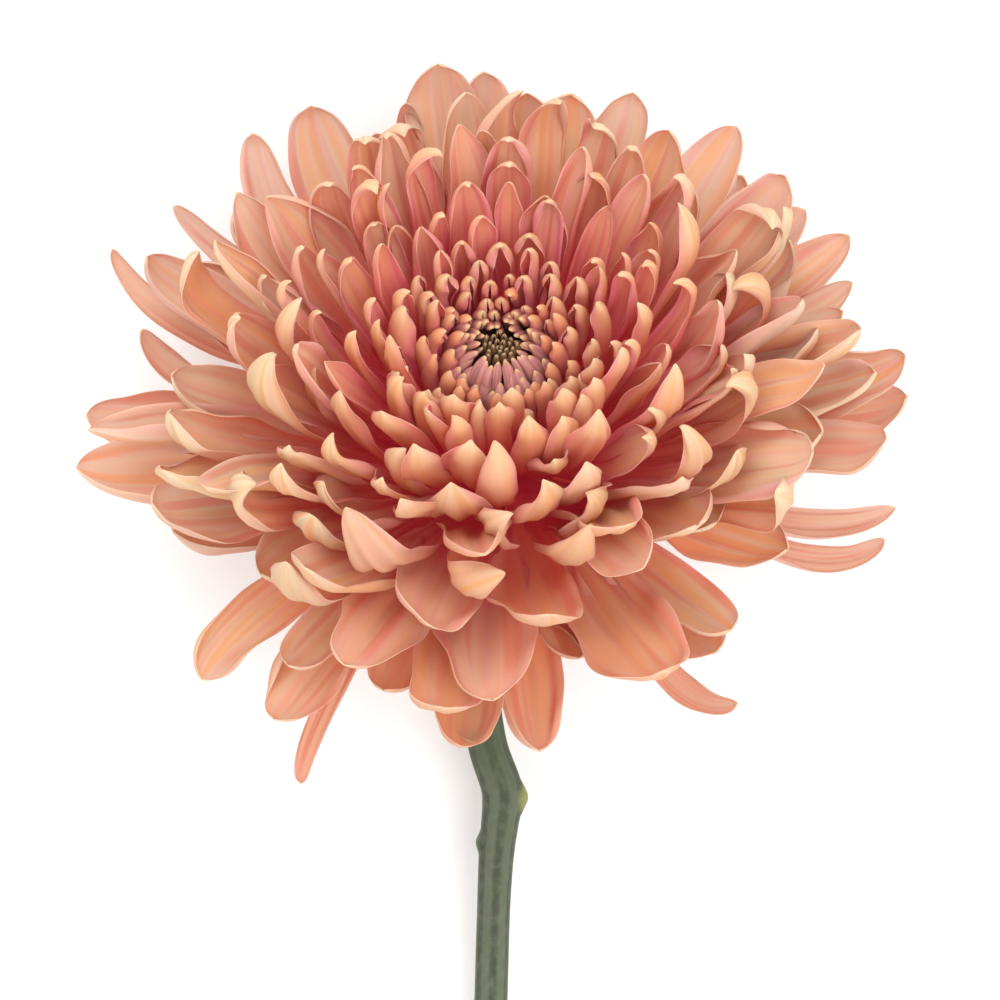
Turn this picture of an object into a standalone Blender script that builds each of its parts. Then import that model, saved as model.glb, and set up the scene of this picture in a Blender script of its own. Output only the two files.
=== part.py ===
"""Disbud chrysanthemum: one large bloom on its cut stem, lying down.

The bloom is tilted up on the florets under its far side, and the stem runs from
its back along -Y to a cut end, which touches the surface too. Metres, +Z up.
Sizes below are in millimetres and degrees. In the flower's own frame the axis
runs from the stem out through the middle of the bloom, and the head is at zero.
"""
import math

import bmesh
import bpy
import numpy as np
from mathutils import Vector

MM = 0.001

# The bloom's place: how far its axis rises from the surface, and where its head stands
AXIS_RISE = math.radians(53)
HEAD_PLACE = np.array([0.87, 47.89, 34.0])

# The spiral of florets, from the middle out
GOLDEN_ANGLE = math.radians(137.50776)
FLORETS = 322
SEED = 7
HEAD_RADIUS = 9.0
HEAD_DOME = 5.0
ROOT_DEPTH = 2.0

# How a floret changes with its place in the spiral. Radius and height are of its
# tip, rises are the slopes at its root and tip, cups are half angles of its
# curved cross-section, and the curl bends the part past curl_start inwards.
RULE_COLUMNS = ("radius", "height", "base_rise", "tip_rise", "width",
                "cup_base", "cup_mid", "cup_tip", "curl", "curl_start", "taper_start")
RULE = {
    0: (0.5, 22.0, 88, 92, 1.9, 150, 150, 150, 0, .88, .88),
    14: (3.0, 23.2, 84, 112, 2.1, 150, 150, 150, 0, .88, .88),
    20: (3.6, 24.6, 78, 145, 3.0, 140, 115, 110, 20, .90, .90),
    50: (5.8, 27.5, 72, 138, 3.5, 130, 105, 105, 25, .90, .90),
    80: (9.6, 30.2, 66, 118, 3.9, 130, 100, 100, 30, .90, .88),
    115: (16.5, 33.0, 57, 102, 4.9, 120, 80, 88, 40, .89, .84),
    145: (24.0, 35.0, 48, 90, 6.6, 110, 62, 78, 50, .88, .76),
    176: (32.5, 35.5, 38, 78, 8.8, 100, 48, 66, 55, .87, .71),
    212: (41.5, 33.5, 28, 62, 11.2, 95, 42, 55, 50, .86, .66),
    245: (49.5, 29.0, 18, 44, 13.4, 90, 36, 46, 45, .85, .64),
    276: (55.5, 19.5, 8, 26, 14.4, 85, 34, 40, 40, .85, .62),
    304: (60.0, 6.0, -2, 6, 14.0, 80, 36, 38, 35, .86, .61),
    322: (57.5, -15.0, -16, -22, 12.5, 80, 44, 44, 25, .86, .61),
}

# Florets that stand out of the spiral, placed by hand
PLACED_COLUMNS = ("order", "azimuth", "radius", "height", "tip_rise", "width",
                  "cup_mid", "curl", "curl_start", "bend", "twist")
PLACED = (
    (306, 5.5, 63.5, 2, 20, 13.5, 36, 30, .85, 0, 0),
    (300, 7.0, 63.5, 10, 25, 13.0, 36, 40, .85, 0, 0),
    (282, 14.5, 55.0, 14, 25, 9.5, 50, 30, .86, 0, 0),
    (288, 21.5, 58.5, 12, 25, 9.0, 50, 20, .86, 0, 0),
    (298, 32.0, 64.5, 8, 25, 11.5, 45, 20, .86, 0, 0),
    (302, 40.5, 63.0, 6, 25, 11.0, 45, 20, .86, 0, 0),
    (286, 43.0, 60.5, 14, 30, 9.5, 45, 40, .86, 0, 0),
    (306, 53.5, 65.5, 0, 20, 12.0, 40, 30, .86, 0, 0),
    (292, 54.5, 64.5, 12, 25, 12.0, 45, 30, .86, 0, 0),
    (322, 62.0, 54.0, -24, -20, 13.0, 40, 10, .86, 0, 0),
    (284, 69.0, 59.5, 18, 35, 13.0, 42, 30, .86, 0, 0),
    (268, 77.0, 52.0, 24, 40, 13.0, 42, 40, .85, 0, 0),
    (290, 85.5, 56.0, 18, 40, 12.5, 42, 40, .85, 0, 0),
    (322, 90.0, 55.0, -24, -20, 13.0, 40, 10, .86, 0, 0),
    (278, 92.5, 56.5, 22, 40, 10.5, 45, 40, .85, 0, 0),
    (280, 100.0, 57.5, 24, 40, 13.0, 42, 60, .85, 0, 0),
    (283, 104.5, 55.0, 20, 50, 5.5, 60, 60, .75, -20, 0),
    (292, 111.5, 54.5, 14, 40, 9.0, 50, 40, .85, 0, 0),
    (296, 117.5, 65.0, 12, 30, 15.5, 38, 30, .86, -10, 0),
    (322, 118.0, 54.0, -24, -20, 13.0, 40, 10, .86, 0, 0),
    (290, 128.0, 62.0, 16, 30, 8.0, 50, 30, .86, -34, 0),
    (298, 140.0, 67.0, 4, 20, 6.5, 58, 20, .86, 4, 0),
    (282, 142.0, 53.0, 16, 30, 12.0, 42, 40, .86, 0, 0),
    (300, 150.0, 70.5, 4, 30, 6.0, 60, 20, .86, -24, 0),
    (290, 153.5, 62.5, 10, 30, 12.0, 42, 40, .86, 0, 0),
    (296, 162.0, 58.5, 6, 50, 6.5, 60, 20, .86, -32, 0),
    (308, 175.0, 64.0, -2, 10, 14.5, 38, 30, .86, 0, 10),
    (282, 179.0, 51.0, 14, 30, 13.0, 42, 40, .86, 0, 0),
    (303, -173.0, 65.0, 2, 10, 16.0, 38, 30, .86, 0, 10),
    (300, -161.5, 56.5, 6, 20, 15.0, 36, 40, .86, 0, 0),
    (306, -160.5, 53.0, 0, 20, 13.0, 38, 30, .86, 0, 0),
    (316, -141.5, 57.5, -12, 0, 10.5, 46, 10, .86, 26, -10),
    (298, -141.0, 46.5, 4, 10, 14.0, 38, 40, .86, 0, 0),
    (306, -127.5, 52.5, -2, 10, 10.5, 45, 30, .86, 0, 0),
    (314, -126.0, 57.0, -10, 0, 13.0, 40, 30, .86, 8, 10),
    (320, -121.5, 59.0, -20, -10, 4.5, 70, 30, .84, 24, -20),
    (252, -113.0, 47.0, 25, 50, 12.0, 46, 125, .68, 0, 10),
    (306, -110.5, 49.5, -2, 10, 12.0, 38, 40, .86, 0, 0),
    (248, -99.0, 46.0, 24, 50, 10.0, 50, 120, .74, 0, -30),
    (314, -96.0, 54.5, -6, 0, 12.0, 45, 40, .84, 0, 0),
    (316, -94.5, 52.5, -8, 0, 9.5, 45, 60, .84, 0, 0),
    (318, -83.5, 51.0, -10, -5, 11.5, 45, 20, .86, 0, 0),
    (236, -76.0, 44.0, 27, 60, 10.0, 50, 100, .76, 0, 10),
    (302, -74.0, 43.0, 0, 10, 12.0, 38, 30, .86, 0, 0),
    (296, -67.5, 44.0, 2, 10, 13.0, 38, 30, .86, 0, 0),
    (304, -51.0, 51.5, 0, 20, 12.5, 40, 20, .86, 0, 0),
    (248, -50.0, 46.0, 24, 30, 16.0, 30, 25, .86, 0, 0),
    (290, -48.5, 52.5, 6, 20, 11.0, 38, 20, .86, 0, 0),
    (316, -48.5, 55.0, -10, 35, 5.5, 60, 10, .86, 38, 20),
    (276, -39.0, 42.0, 14, 20, 15.0, 34, 20, .86, 0, 0),
    (304, -25.5, 48.5, 0, 20, 12.0, 40, 20, .86, 0, 0),
    (270, -13.0, 50.5, 16, 30, 15.5, 34, 30, .86, 0, 0),
    (316, -11.0, 60.5, -8, 45, 5.5, 65, 10, .86, 26, 20),
    (312, -8.5, 61.0, -4, 22, 6.0, 75, 10, .86, 24, 20),
)
PLACED_CLEARANCE = 8.5
PLACED_FROM = 190

# Florets of the spiral that this bloom has lost, where its outline has gaps
LOST_FLORETS = (210, 237, 242, 247, 250, 255, 257, 268, 271, 276, 281,
                289, 293, 300, 302, 306, 311, 313, 314, 316, 318)

# The solids of the florets: stations along each, and its thickness at the midline.
# The solid bloom has fewer florets than the real one, each a little wider.
CENTRE_FLORETS = 50
SLIM_FLORETS = 80
MIDDLE_FLORETS = 190
INNER_BROAD_FLORETS = 250
MIDDLE_WIDENING = 1.2
INNER_BROAD_WIDENING = 1.12
SLIM_STATIONS = (0.0, 0.5, 0.84, 1.0)
MIDDLE_STATIONS = (0.0, 0.5, 0.85, 1.0)
BROAD_STATIONS = (0.0, 0.45, 0.76, 0.93, 1.0)
FLORET_THICKNESS = 0.7
FLOOR_SOFTNESS = 2.5
FLOOR_LAYER = 0.02

# The solid middle that the ray florets stand out of, with a well for the centre's own
CORE_SIDES = 16
WELL_RADIUS = 4.6
WELL_FLOOR = 14.7
CORE_PROFILE = ((0.0, -1.7), (10.5, -1.7), (14.0, 1.0), (17.0, 7.0), (16.0, 12.5), (12.0, 17.0),
                (7.5, 19.0), (WELL_RADIUS, 19.2), (WELL_RADIUS, WELL_FLOOR), (0.0, WELL_FLOOR))
CENTRE_PROFILE = ((0.0, 15.0), (4.2, 15.0), (4.2, 17.0), (2.5, 18.4), (0.0, 18.8))
CENTRE_REACH = 4.1
RAY_REACH = 5.0

# The green cup under the head, with a socket for the stem, and its bracts:
# how many in a row, where their tips are, and how wide they are
CUP_SIDES = 18
SOCKET_RADIUS = 3.5
CUP_PROFILE = ((0.0, -2.3), (9.5, -2.3), (10.2, -2.9), (9.5, -4.4), (7.0, -6.8), (4.8, -8.8),
               (SOCKET_RADIUS, -9.6), (SOCKET_RADIUS, -5.4), (0.0, -5.4))
BRACT_ROWS = ((13, 13.2, -4.9, 5.2, 0.0), (8, 10.2, -7.0, 5.0, 14.0))
BRACT_ROOT = (4.2, -8.6)
BRACT_STATIONS = (0.0, 0.4, 0.75, 1.0)
BRACT_THICKNESS = 0.9
BRACT_CUP = math.radians(28)

# The stem's middle line from the socket to the cut end: across and along from the head's place,
# height above the surface, and diameter
STEM_ROUTE = (
    (0.0, -4.0, 29.2, 5.8), (0.0, -8.6, 23.2, 5.6), (-0.5, -13.8, 18.2, 5.5), (-1.6, -21.0, 14.2, 5.5),
    (-2.6, -29.5, 12.2, 5.6), (-2.9, -39.0, 11.2, 5.8), (-1.9, -46.5, 10.6, 5.9), (0.1, -52.5, 10.1, 6.1),
    (0.4, -55.0, 9.9, 6.1), (0.0, -58.5, 9.6, 5.6), (-0.6, -64.0, 9.2, 5.2), (-1.0, -72.0, 8.6, 4.9),
    (-1.3, -82.0, 7.8, 4.9), (-1.9, -105.0, 6.1, 4.9), (-2.6, -130.0, 4.15, 5.0), (-3.0, -155.0, 2.3, 5.0),
)
STEM_SECTIONS = 34
STEM_RIBS = 6
RIB_DEPTH = 0.055
# Swellings: how far along -Y, towards which side, how high, how long and how wide an angle
STEM_SWELLINGS = ((-54.6, 0.0, 0.9, 1.9, 0.8), (-61.6, math.pi, 0.6, 1.3, 0.7))

# Colours and roughness
CORAL = (0.83, 0.33, 0.22, 1)
MAUVE_BROWN = (0.42, 0.19, 0.15, 1)
LEAF_GREEN = (0.20, 0.27, 0.11, 1)
STEM_GREEN = (0.15, 0.19, 0.10, 1)


def smooth(x):
    x = np.clip(x, 0, 1)
    return x * x * (3 - 2 * x)


def unit(v):
    return v / np.linalg.norm(v, axis=-1, keepdims=True)


def polar(radius, azimuth, height):
    return np.stack([radius * np.cos(azimuth), radius * np.sin(azimuth), height], -1)


def flower_to_world(p):
    """Turn points or directions from the flower's frame, its axis up, to the lying one."""
    sine, cosine = math.sin(AXIS_RISE), math.cos(AXIS_RISE)
    return np.stack([p[..., 0],
                     p[..., 1] * sine + p[..., 2] * cosine,
                     p[..., 2] * sine - p[..., 1] * cosine], -1)


def world_to_flower(p):
    sine, cosine = math.sin(AXIS_RISE), math.cos(AXIS_RISE)
    x, y, z = p - HEAD_PLACE
    return np.array([x, y * sine - z * cosine, y * cosine + z * sine])


def rule_at(order):
    keys = sorted(RULE)
    rows = np.array([RULE[k] for k in keys])
    return {name: np.interp(order, keys, rows[:, c]) for c, name in enumerate(RULE_COLUMNS)}


def spiral_florets():
    """The florets of the spiral, with the uneven growth of a real bloom."""
    rng = np.random.default_rng(SEED)
    order = np.arange(FLORETS, dtype=float)
    f = rule_at(order)
    uneven = np.clip((order - 50) / 120, 0, 1)
    outer = np.clip((order - 160) / 60, 0, 1)

    def draw(spread):
        return rng.normal(0, 1, FLORETS) * spread

    azimuth = order * GOLDEN_ANGLE + np.radians(draw(2.0 + 2.5 * uneven))
    near_side = np.maximum(-np.sin(azimuth), 0)
    f["radius"] = f["radius"] * (1 + draw(0.03)) + draw(1.2 * uneven)
    f["radius"] *= 1 - 0.06 * near_side * outer
    f["height"] += draw(0.4 + 1.6 * uneven)
    f["tip_rise"] += draw(4 + 10 * uneven)
    f["base_rise"] += draw(3 * uneven)
    f["width"] *= 1 + draw(0.10)
    f["cup_mid"] *= 1 + draw(0.12)
    f["curl"] *= np.clip(1 + draw(0.45), 0, 2.4)
    kind = rng.random(FLORETS)
    hooked = kind < 0.24 * outer
    quilled = kind > 1 - 0.12 * uneven
    f["curl"] = np.where(hooked, f["curl"] * 0.5 + 75, f["curl"])
    f["curl_start"] = np.where(hooked, f["curl_start"] - 0.10, f["curl_start"])
    f["cup_mid"] = np.where(quilled, 95, f["cup_mid"])
    f["cup_tip"] = np.where(quilled, 85, f["cup_tip"])
    f["bend"] = draw(2 + 9 * uneven)
    f["twist"] = draw(4 + 13 * uneven)
    f["order"] = order
    f["azimuth"] = azimuth
    f["placed"] = np.zeros(FLORETS)
    return f


def placed_florets():
    placed = dict(zip(PLACED_COLUMNS, np.array(PLACED).T))
    f = rule_at(placed["order"])
    f.update(placed)
    f["azimuth"] = np.radians(f["azimuth"])
    f["cup_tip"] = f["cup_mid"] * 0.95 + 4
    f["placed"] = np.ones(len(PLACED))
    return f


def all_florets():
    """The spiral's florets and the placed ones, in order, without those that stand in their way."""
    spiral, placed = spiral_florets(), placed_florets()
    tips = polar(spiral["radius"], spiral["azimuth"], spiral["height"])
    keep = ~np.isin(spiral["order"], LOST_FLORETS)
    for tip in polar(placed["radius"], placed["azimuth"], placed["height"]):
        close = np.linalg.norm(tips - tip, axis=-1) < PLACED_CLEARANCE
        keep &= ~(close & (spiral["order"] > PLACED_FROM))
    f = {name: np.concatenate([spiral[name][keep], placed[name]]) for name in spiral}
    arranged = np.argsort(f["order"], kind="stable")
    return {name: values[arranged] for name, values in f.items()}


def add_centrelines(f):
    """Give each floret its root, tip and two handles, and the side directions at both ends."""
    for name in ("base_rise", "tip_rise", "cup_base", "cup_mid", "cup_tip", "curl", "bend", "twist"):
        f[name] = np.radians(f[name])
    share = np.sqrt((f["order"] + 0.5) / FLORETS)
    azimuth, end_azimuth = f["azimuth"], f["azimuth"] + f["bend"]
    start = polar(np.cos(f["base_rise"]), azimuth, np.sin(f["base_rise"]))
    end = polar(np.cos(f["tip_rise"]), end_azimuth, np.sin(f["tip_rise"]))
    root = polar(HEAD_RADIUS * share, azimuth, HEAD_DOME * (1 - share ** 2) - 1.0)
    tip = polar(f["radius"], azimuth, f["height"])
    f["length"] = np.linalg.norm(tip - root, axis=-1)
    curl = np.maximum(f["curl"], 0.02)
    curled_length = (1 - f["curl_start"]) * f["length"]
    tip = tip + end * (curled_length * (1 - np.sin(curl) / curl))[:, None]
    side = polar(np.ones_like(share), azimuth + math.pi / 2, np.zeros_like(share))
    end_side = polar(np.ones_like(share), end_azimuth + math.pi / 2, np.zeros_like(share))
    end_side = (end_side * np.cos(f["twist"])[:, None]
                + np.cross(end, end_side) * np.sin(f["twist"])[:, None])
    f["root"] = flower_to_world(root) + HEAD_PLACE
    f["handle_1"] = flower_to_world(root + start * (0.38 * f["length"])[:, None]) + HEAD_PLACE
    f["handle_2"] = flower_to_world(tip - end * (0.36 * f["length"])[:, None]) + HEAD_PLACE
    f["tip"] = flower_to_world(tip) + HEAD_PLACE
    f["side"] = flower_to_world(side)
    f["end_side"] = flower_to_world(end_side)
    return f


def width_share(s, claw, taper_start):
    """Half width along a floret: a narrow claw, the widest part, and a round tip."""
    body = claw + (1 - claw) * smooth(s / 0.64) ** 0.85
    past = np.clip((s - taper_start) / (1 - taper_start), 0, 1)
    return body * (1 - past ** 2.2) ** 0.52


def floret_section(f, k, s):
    """The left rim, midline and right rim points and the normal of floret k at s along it."""
    root, h1, h2, tip = f["root"][k], f["handle_1"][k], f["handle_2"][k], f["tip"][k]
    r = 1 - s
    centre = r ** 3 * root + 3 * r * r * s * h1 + 3 * r * s * s * h2 + s ** 3 * tip
    along = unit(r * r * (h1 - root) + 2 * r * s * (h2 - h1) + s * s * (tip - h2))
    side = f["side"][k] * r + f["end_side"][k] * s
    side = unit(side - along * (side @ along))
    normal = np.cross(along, side)
    start = f["curl_start"][k]
    past = np.clip((s - start) / (1 - start), 0, 1)
    curl = max(f["curl"][k], 0.02)
    curled_length = (1 - start) * f["length"][k] * 1.05
    bow = curled_length / curl
    turn = curl * past
    centre = centre + along * (bow * math.sin(turn) - curled_length * past)
    centre = centre + normal * bow * (1 - math.cos(turn))
    normal = normal * math.cos(turn) - along * math.sin(turn)
    claw = np.clip(0.9 - f["order"][k] * 0.0045, 0.16, 0.9)
    half = 0.5 * f["width"][k] * width_share(s, claw, f["taper_start"][k])
    cup = f["cup_base"][k] + (f["cup_mid"][k] - f["cup_base"][k]) * smooth(s / 0.45)
    cup = cup + (f["cup_tip"][k] - f["cup_mid"][k]) * smooth((s - 0.7) / 0.3)
    reach = side * half * math.sin(cup) / cup
    rise = normal * half * (1 - math.cos(cup)) / cup
    return centre + rise - reach, centre, centre + rise + reach, normal


def above_floor(p, lowest=0.0):
    """A point in metres, pressed flat onto the surface where it would be under it."""
    drop = p[2] - lowest
    if drop < -FLOOR_SOFTNESS:
        drop = 0.0
    elif drop < FLOOR_SOFTNESS:
        drop = (drop + FLOOR_SOFTNESS) ** 2 / (4 * FLOOR_SOFTNESS)
    return Vector((p[0], p[1], lowest + drop)) * MM


def blade_object(name, rings, end, collection):
    """A closed blade from rings of three or four points and an end point."""
    bm = bmesh.new()
    rings = [[bm.verts.new(p) for p in ring] for ring in rings]
    end = bm.verts.new(end)
    count = len(rings[0])
    for ring, following in zip(rings, rings[1:]):
        for a in range(count):
            b = (a + 1) % count
            # the diagonals of both faces run alike, from the midline out
            if a in (0, 3):
                bm.faces.new((ring[a], ring[b], following[a]))
                bm.faces.new((ring[b], following[b], following[a]))
            else:
                bm.faces.new((ring[a], ring[b], following[b]))
                bm.faces.new((ring[a], following[b], following[a]))
    for a in range(count):
        bm.faces.new((rings[-1][a], rings[-1][(a + 1) % count], end))
    bm.faces.new(list(reversed(rings[0])))
    bmesh.ops.triangulate(bm, faces=[face for face in bm.faces if len(face.verts) > 3])
    bmesh.ops.recalc_face_normals(bm, faces=bm.faces)
    mesh = bpy.data.meshes.new(name)
    bm.to_mesh(mesh)
    bm.free()
    obj = bpy.data.objects.new(name, mesh)
    collection.objects.link(obj)
    return obj


def blade_ring(left, middle, right, normal, thickness, lowest, slim):
    """The corners of a blade's cross-section, a lens or, where it is slim, a triangle."""
    half = normal * thickness / 2
    ring = [above_floor(left, lowest), above_floor(middle - half, lowest), above_floor(right, lowest)]
    if not slim:
        ring.append(above_floor(middle + half, lowest + thickness))
    return ring


def kept_out_of(points, order):
    """Hold the centre's florets inside their well, and the others round it, in the flower's frame."""
    heads = np.array([world_to_flower(p) for p in points])
    radius = np.maximum(np.hypot(heads[:, 0], heads[:, 1]), 1e-6)
    if order < CENTRE_FLORETS:
        allowed = np.minimum(radius, CENTRE_REACH)
        heads[:, 2] = np.maximum(heads[:, 2], CENTRE_PROFILE[0][1] + 0.6)
    else:
        allowed = np.maximum(radius, RAY_REACH)
    heads[:, :2] *= (allowed / radius)[:, None]
    return flower_to_world(heads) + HEAD_PLACE


def floret_object(f, k, collection, widening):
    order = f["order"][k]
    slim = order < SLIM_FLORETS
    stations = SLIM_STATIONS if slim else MIDDLE_STATIONS if order < MIDDLE_FLORETS else BROAD_STATIONS
    lowest = (FLORETS - order) * FLOOR_LAYER
    f["width"][k] *= widening
    inwards = unit(f["root"][k] - f["handle_1"][k])
    rings = []
    for s in stations[:-1]:
        left, middle, right, normal = floret_section(f, k, s)
        points = np.array([left, middle, right])
        if s == 0.0:
            points = points + inwards * ROOT_DEPTH
        points = kept_out_of(points, order)
        rings.append(blade_ring(*points, normal, FLORET_THICKNESS, lowest, slim))
    end = kept_out_of([floret_section(f, k, 1.0)[1]], order)[0]
    return blade_object("floret", rings, above_floor(end, lowest), collection)


def lathe(name, profile, sides):
    """A closed turned body from its (radius, height) profile, in the flower's frame."""
    bm = bmesh.new()
    rings = []
    for radius, height in profile:
        count = 1 if radius == 0 else sides
        azimuths = np.arange(count) * 2 * math.pi / sides
        points = polar(np.full(count, radius), azimuths, np.full(count, height))
        rings.append([bm.verts.new(Vector(p) * MM) for p in flower_to_world(points) + HEAD_PLACE])
    for low, high in zip(rings, rings[1:]):
        for a in range(sides):
            b = a + 1
            corners = (low[a % len(low)], low[b % len(low)], high[b % len(high)], high[a % len(high)])
            bm.faces.new(list(dict.fromkeys(corners)))
    bmesh.ops.recalc_face_normals(bm, faces=bm.faces)
    mesh = bpy.data.meshes.new(name)
    bm.to_mesh(mesh)
    bm.free()
    obj = bpy.data.objects.new(name, mesh)
    bpy.context.scene.collection.objects.link(obj)
    return obj


def new_collection(name):
    collection = bpy.data.collections.new(name)
    bpy.context.scene.collection.children.link(collection)
    return collection


def fuse(base, collection):
    """Join a collection's bodies to the base in one solid, and remove the collection."""
    modifier = base.modifiers.new("fuse", 'BOOLEAN')
    modifier.operation = 'UNION'
    modifier.operand_type = 'COLLECTION'
    modifier.collection = collection
    modifier.solver = 'MANIFOLD'
    evaluated = base.evaluated_get(bpy.context.evaluated_depsgraph_get())
    mesh = bpy.data.meshes.new_from_object(evaluated)
    base.modifiers.clear()
    base.data = mesh
    for obj in list(collection.objects):
        bpy.data.objects.remove(obj)
    bpy.data.collections.remove(collection)
    keep_main_body(base)


def keep_main_body(obj):
    """Drop loose scraps and fill sealed hollows: only the shell with the most faces stays."""
    bm = bmesh.new()
    bm.from_mesh(obj.data)
    bmesh.ops.triangulate(bm, faces=bm.faces)
    unseen = set(bm.faces)
    shells = []
    while unseen:
        stack = [unseen.pop()]
        shell = set(stack)
        while stack:
            edges = [edge for edge in stack.pop().edges if len(edge.link_faces) == 2]
            joined = {face for edge in edges for face in edge.link_faces} & unseen
            unseen -= joined
            shell |= joined
            stack.extend(joined)
        shells.append(shell)
    main_shell = max(shells, key=len)
    bmesh.ops.delete(bm, geom=[face for face in bm.faces if face not in main_shell], context='FACES')
    bm.to_mesh(obj.data)
    bm.free()


def give_material(obj, name, colour, roughness):
    material = bpy.data.materials.new(name)
    material.use_nodes = True
    shader = material.node_tree.nodes["Principled BSDF"]
    shader.inputs["Base Color"].default_value = colour
    shader.inputs["Roughness"].default_value = roughness
    obj.data.materials.clear()
    obj.data.materials.append(material)


def solid_share(order, placed):
    """Whether the solid bloom has this floret, and how much wider it makes it."""
    place = int(order)
    if placed or place < CENTRE_FLORETS:
        return True, 1
    if place < MIDDLE_FLORETS:
        return place % 2 == 0, MIDDLE_WIDENING
    if place < INNER_BROAD_FLORETS:
        return place % 3 > 0, INNER_BROAD_WIDENING
    return True, 1


def build_florets():
    """The bloom: the ray florets on their core, and the centre's florets in the well."""
    f = add_centrelines(all_florets())
    rays = lathe("ray_florets", CORE_PROFILE, CORE_SIDES)
    centre = lathe("centre_florets", CENTRE_PROFILE, CORE_SIDES)
    ray_bodies = new_collection("ray_bodies")
    centre_bodies = new_collection("centre_bodies")
    for k, order in enumerate(f["order"]):
        present, widening = solid_share(order, f["placed"][k])
        if present:
            floret_object(f, k, centre_bodies if order < CENTRE_FLORETS else ray_bodies, widening)
    fuse(rays, ray_bodies)
    fuse(centre, centre_bodies)
    give_material(rays, "coral floret", CORAL, 0.55)
    give_material(centre, "mauve floret", MAUVE_BROWN, 0.55)


def build_involucre():
    """The green cup that carries the head, with two rows of pointed bracts under the florets."""
    cup = lathe("involucre", CUP_PROFILE, CUP_SIDES)
    bracts = new_collection("bract_bodies")
    for count, tip_radius, tip_height, width, turn in BRACT_ROWS:
        for k in range(count):
            azimuth = math.radians(turn) + k * 2 * math.pi / count
            bract_object(azimuth, tip_radius, tip_height, width, bracts)
    fuse(cup, bracts)
    give_material(cup, "green bract", LEAF_GREEN, 0.6)


def bract_object(azimuth, tip_radius, tip_height, width, collection):
    root_radius, root_height = BRACT_ROOT
    outwards = np.array([math.cos(azimuth), math.sin(azimuth), 0])
    side = np.array([-math.sin(azimuth), math.cos(azimuth), 0])
    up = np.array([0, 0, 1.0])
    rings = []
    for s in BRACT_STATIONS:
        # the middle line bows outwards, along the cup
        radius = root_radius + (tip_radius - root_radius) * s
        height = root_height + (tip_height - root_height) * s - 0.9 * math.sin(math.pi * s)
        slope = math.atan2(tip_height - root_height, tip_radius - root_radius)
        normal = up * math.cos(slope) - outwards * math.sin(slope)
        half = 0.5 * width * (0.75 + 0.9 * s - 1.65 * s ** 2.5)
        middle = outwards * radius + up * height
        reach = side * half * math.sin(BRACT_CUP) / BRACT_CUP
        rise = normal * half * (1 - math.cos(BRACT_CUP)) / BRACT_CUP
        section = np.array([middle + rise - reach, middle, middle + rise + reach])
        section = flower_to_world(section) + HEAD_PLACE
        if s == BRACT_STATIONS[-1]:
            end = above_floor(section[1])
        else:
            rings.append(blade_ring(*section, flower_to_world(normal), BRACT_THICKNESS, 0.0, False))
    return blade_object("bract", rings, end, collection)


def smooth_route(points, count):
    """Evenly spaced points on a smooth curve through the given ones."""
    points = np.array(points)
    ends = np.vstack([2 * points[0] - points[1], points, 2 * points[-1] - points[-2]])
    fine = []
    for before, p, q, after in zip(ends, ends[1:], ends[2:], ends[3:]):
        for t in np.linspace(0, 1, 20, endpoint=False):
            slope_p, slope_q = (q - before) / 2, (after - p) / 2
            fine.append(p * (1 + 2 * t) * (1 - t) ** 2 + slope_p * t * (1 - t) ** 2
                        + q * t * t * (3 - 2 * t) + slope_q * t * t * (t - 1))
    fine = np.array(fine + [points[-1]])
    travelled = np.concatenate([[0], np.cumsum(np.linalg.norm(np.diff(fine[:, :3], axis=0), axis=1))])
    places = np.linspace(0, travelled[-1], count)
    return np.stack([np.interp(places, travelled, fine[:, c]) for c in range(fine.shape[1])], -1)


def build_stem():
    """The ribbed stem, with the swollen node where a leaf was and a small bump below it."""
    route = smooth_route(STEM_ROUTE, STEM_SECTIONS)
    middle, diameter = route[:, :3], route[:, 3]
    middle[:, :2] += HEAD_PLACE[:2]
    along = unit(np.gradient(middle, axis=0))
    side = unit(np.array([1.0, 0, 0]) - along * along[:, :1])
    up = np.cross(side, along)
    sides = STEM_RIBS * 2
    bm = bmesh.new()
    rings = []
    for n in range(STEM_SECTIONS):
        ring = []
        for a in np.arange(sides) * 2 * math.pi / sides:
            radius = diameter[n] / 2 * (1 + RIB_DEPTH * math.cos(STEM_RIBS * a))
            for place, towards, height, length, spread in STEM_SWELLINGS:
                turn = math.remainder(a - towards, 2 * math.pi)
                away = (middle[n][1] - HEAD_PLACE[1] - place) / length
                radius += height * math.exp(-away ** 2 - (turn / spread) ** 2)
            p = middle[n] + (side[n] * math.cos(a) + up[n] * math.sin(a)) * radius
            ring.append(bm.verts.new(Vector((p[0], p[1], max(p[2], 0.0))) * MM))
        rings.append(ring)
    for ring, following in zip(rings, rings[1:]):
        for a in range(sides):
            b = (a + 1) % sides
            bm.faces.new((ring[a], ring[b], following[b], following[a]))
    bm.faces.new(rings[0])
    bm.faces.new(rings[-1])
    bmesh.ops.recalc_face_normals(bm, faces=bm.faces)
    mesh = bpy.data.meshes.new("stem")
    bm.to_mesh(mesh)
    bm.free()
    stem = bpy.data.objects.new("stem", mesh)
    bpy.context.scene.collection.objects.link(stem)
    give_material(stem, "stem green", STEM_GREEN, 0.6)


def main():
    for obj in list(bpy.data.objects):
        bpy.data.objects.remove(obj)
    build_florets()
    build_involucre()
    build_stem()


main()
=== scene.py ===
"""Disbud chrysanthemum: the finished look of one cut bloom lying on its stem.

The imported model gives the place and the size. Fine florets grown by the same rule stand for
its solid ones, and the cup, the bracts and the ribbed stem are made again with their surface.
Sizes are in millimetres and degrees until a mesh is made; meshes are in metres.
"""

import math

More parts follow.
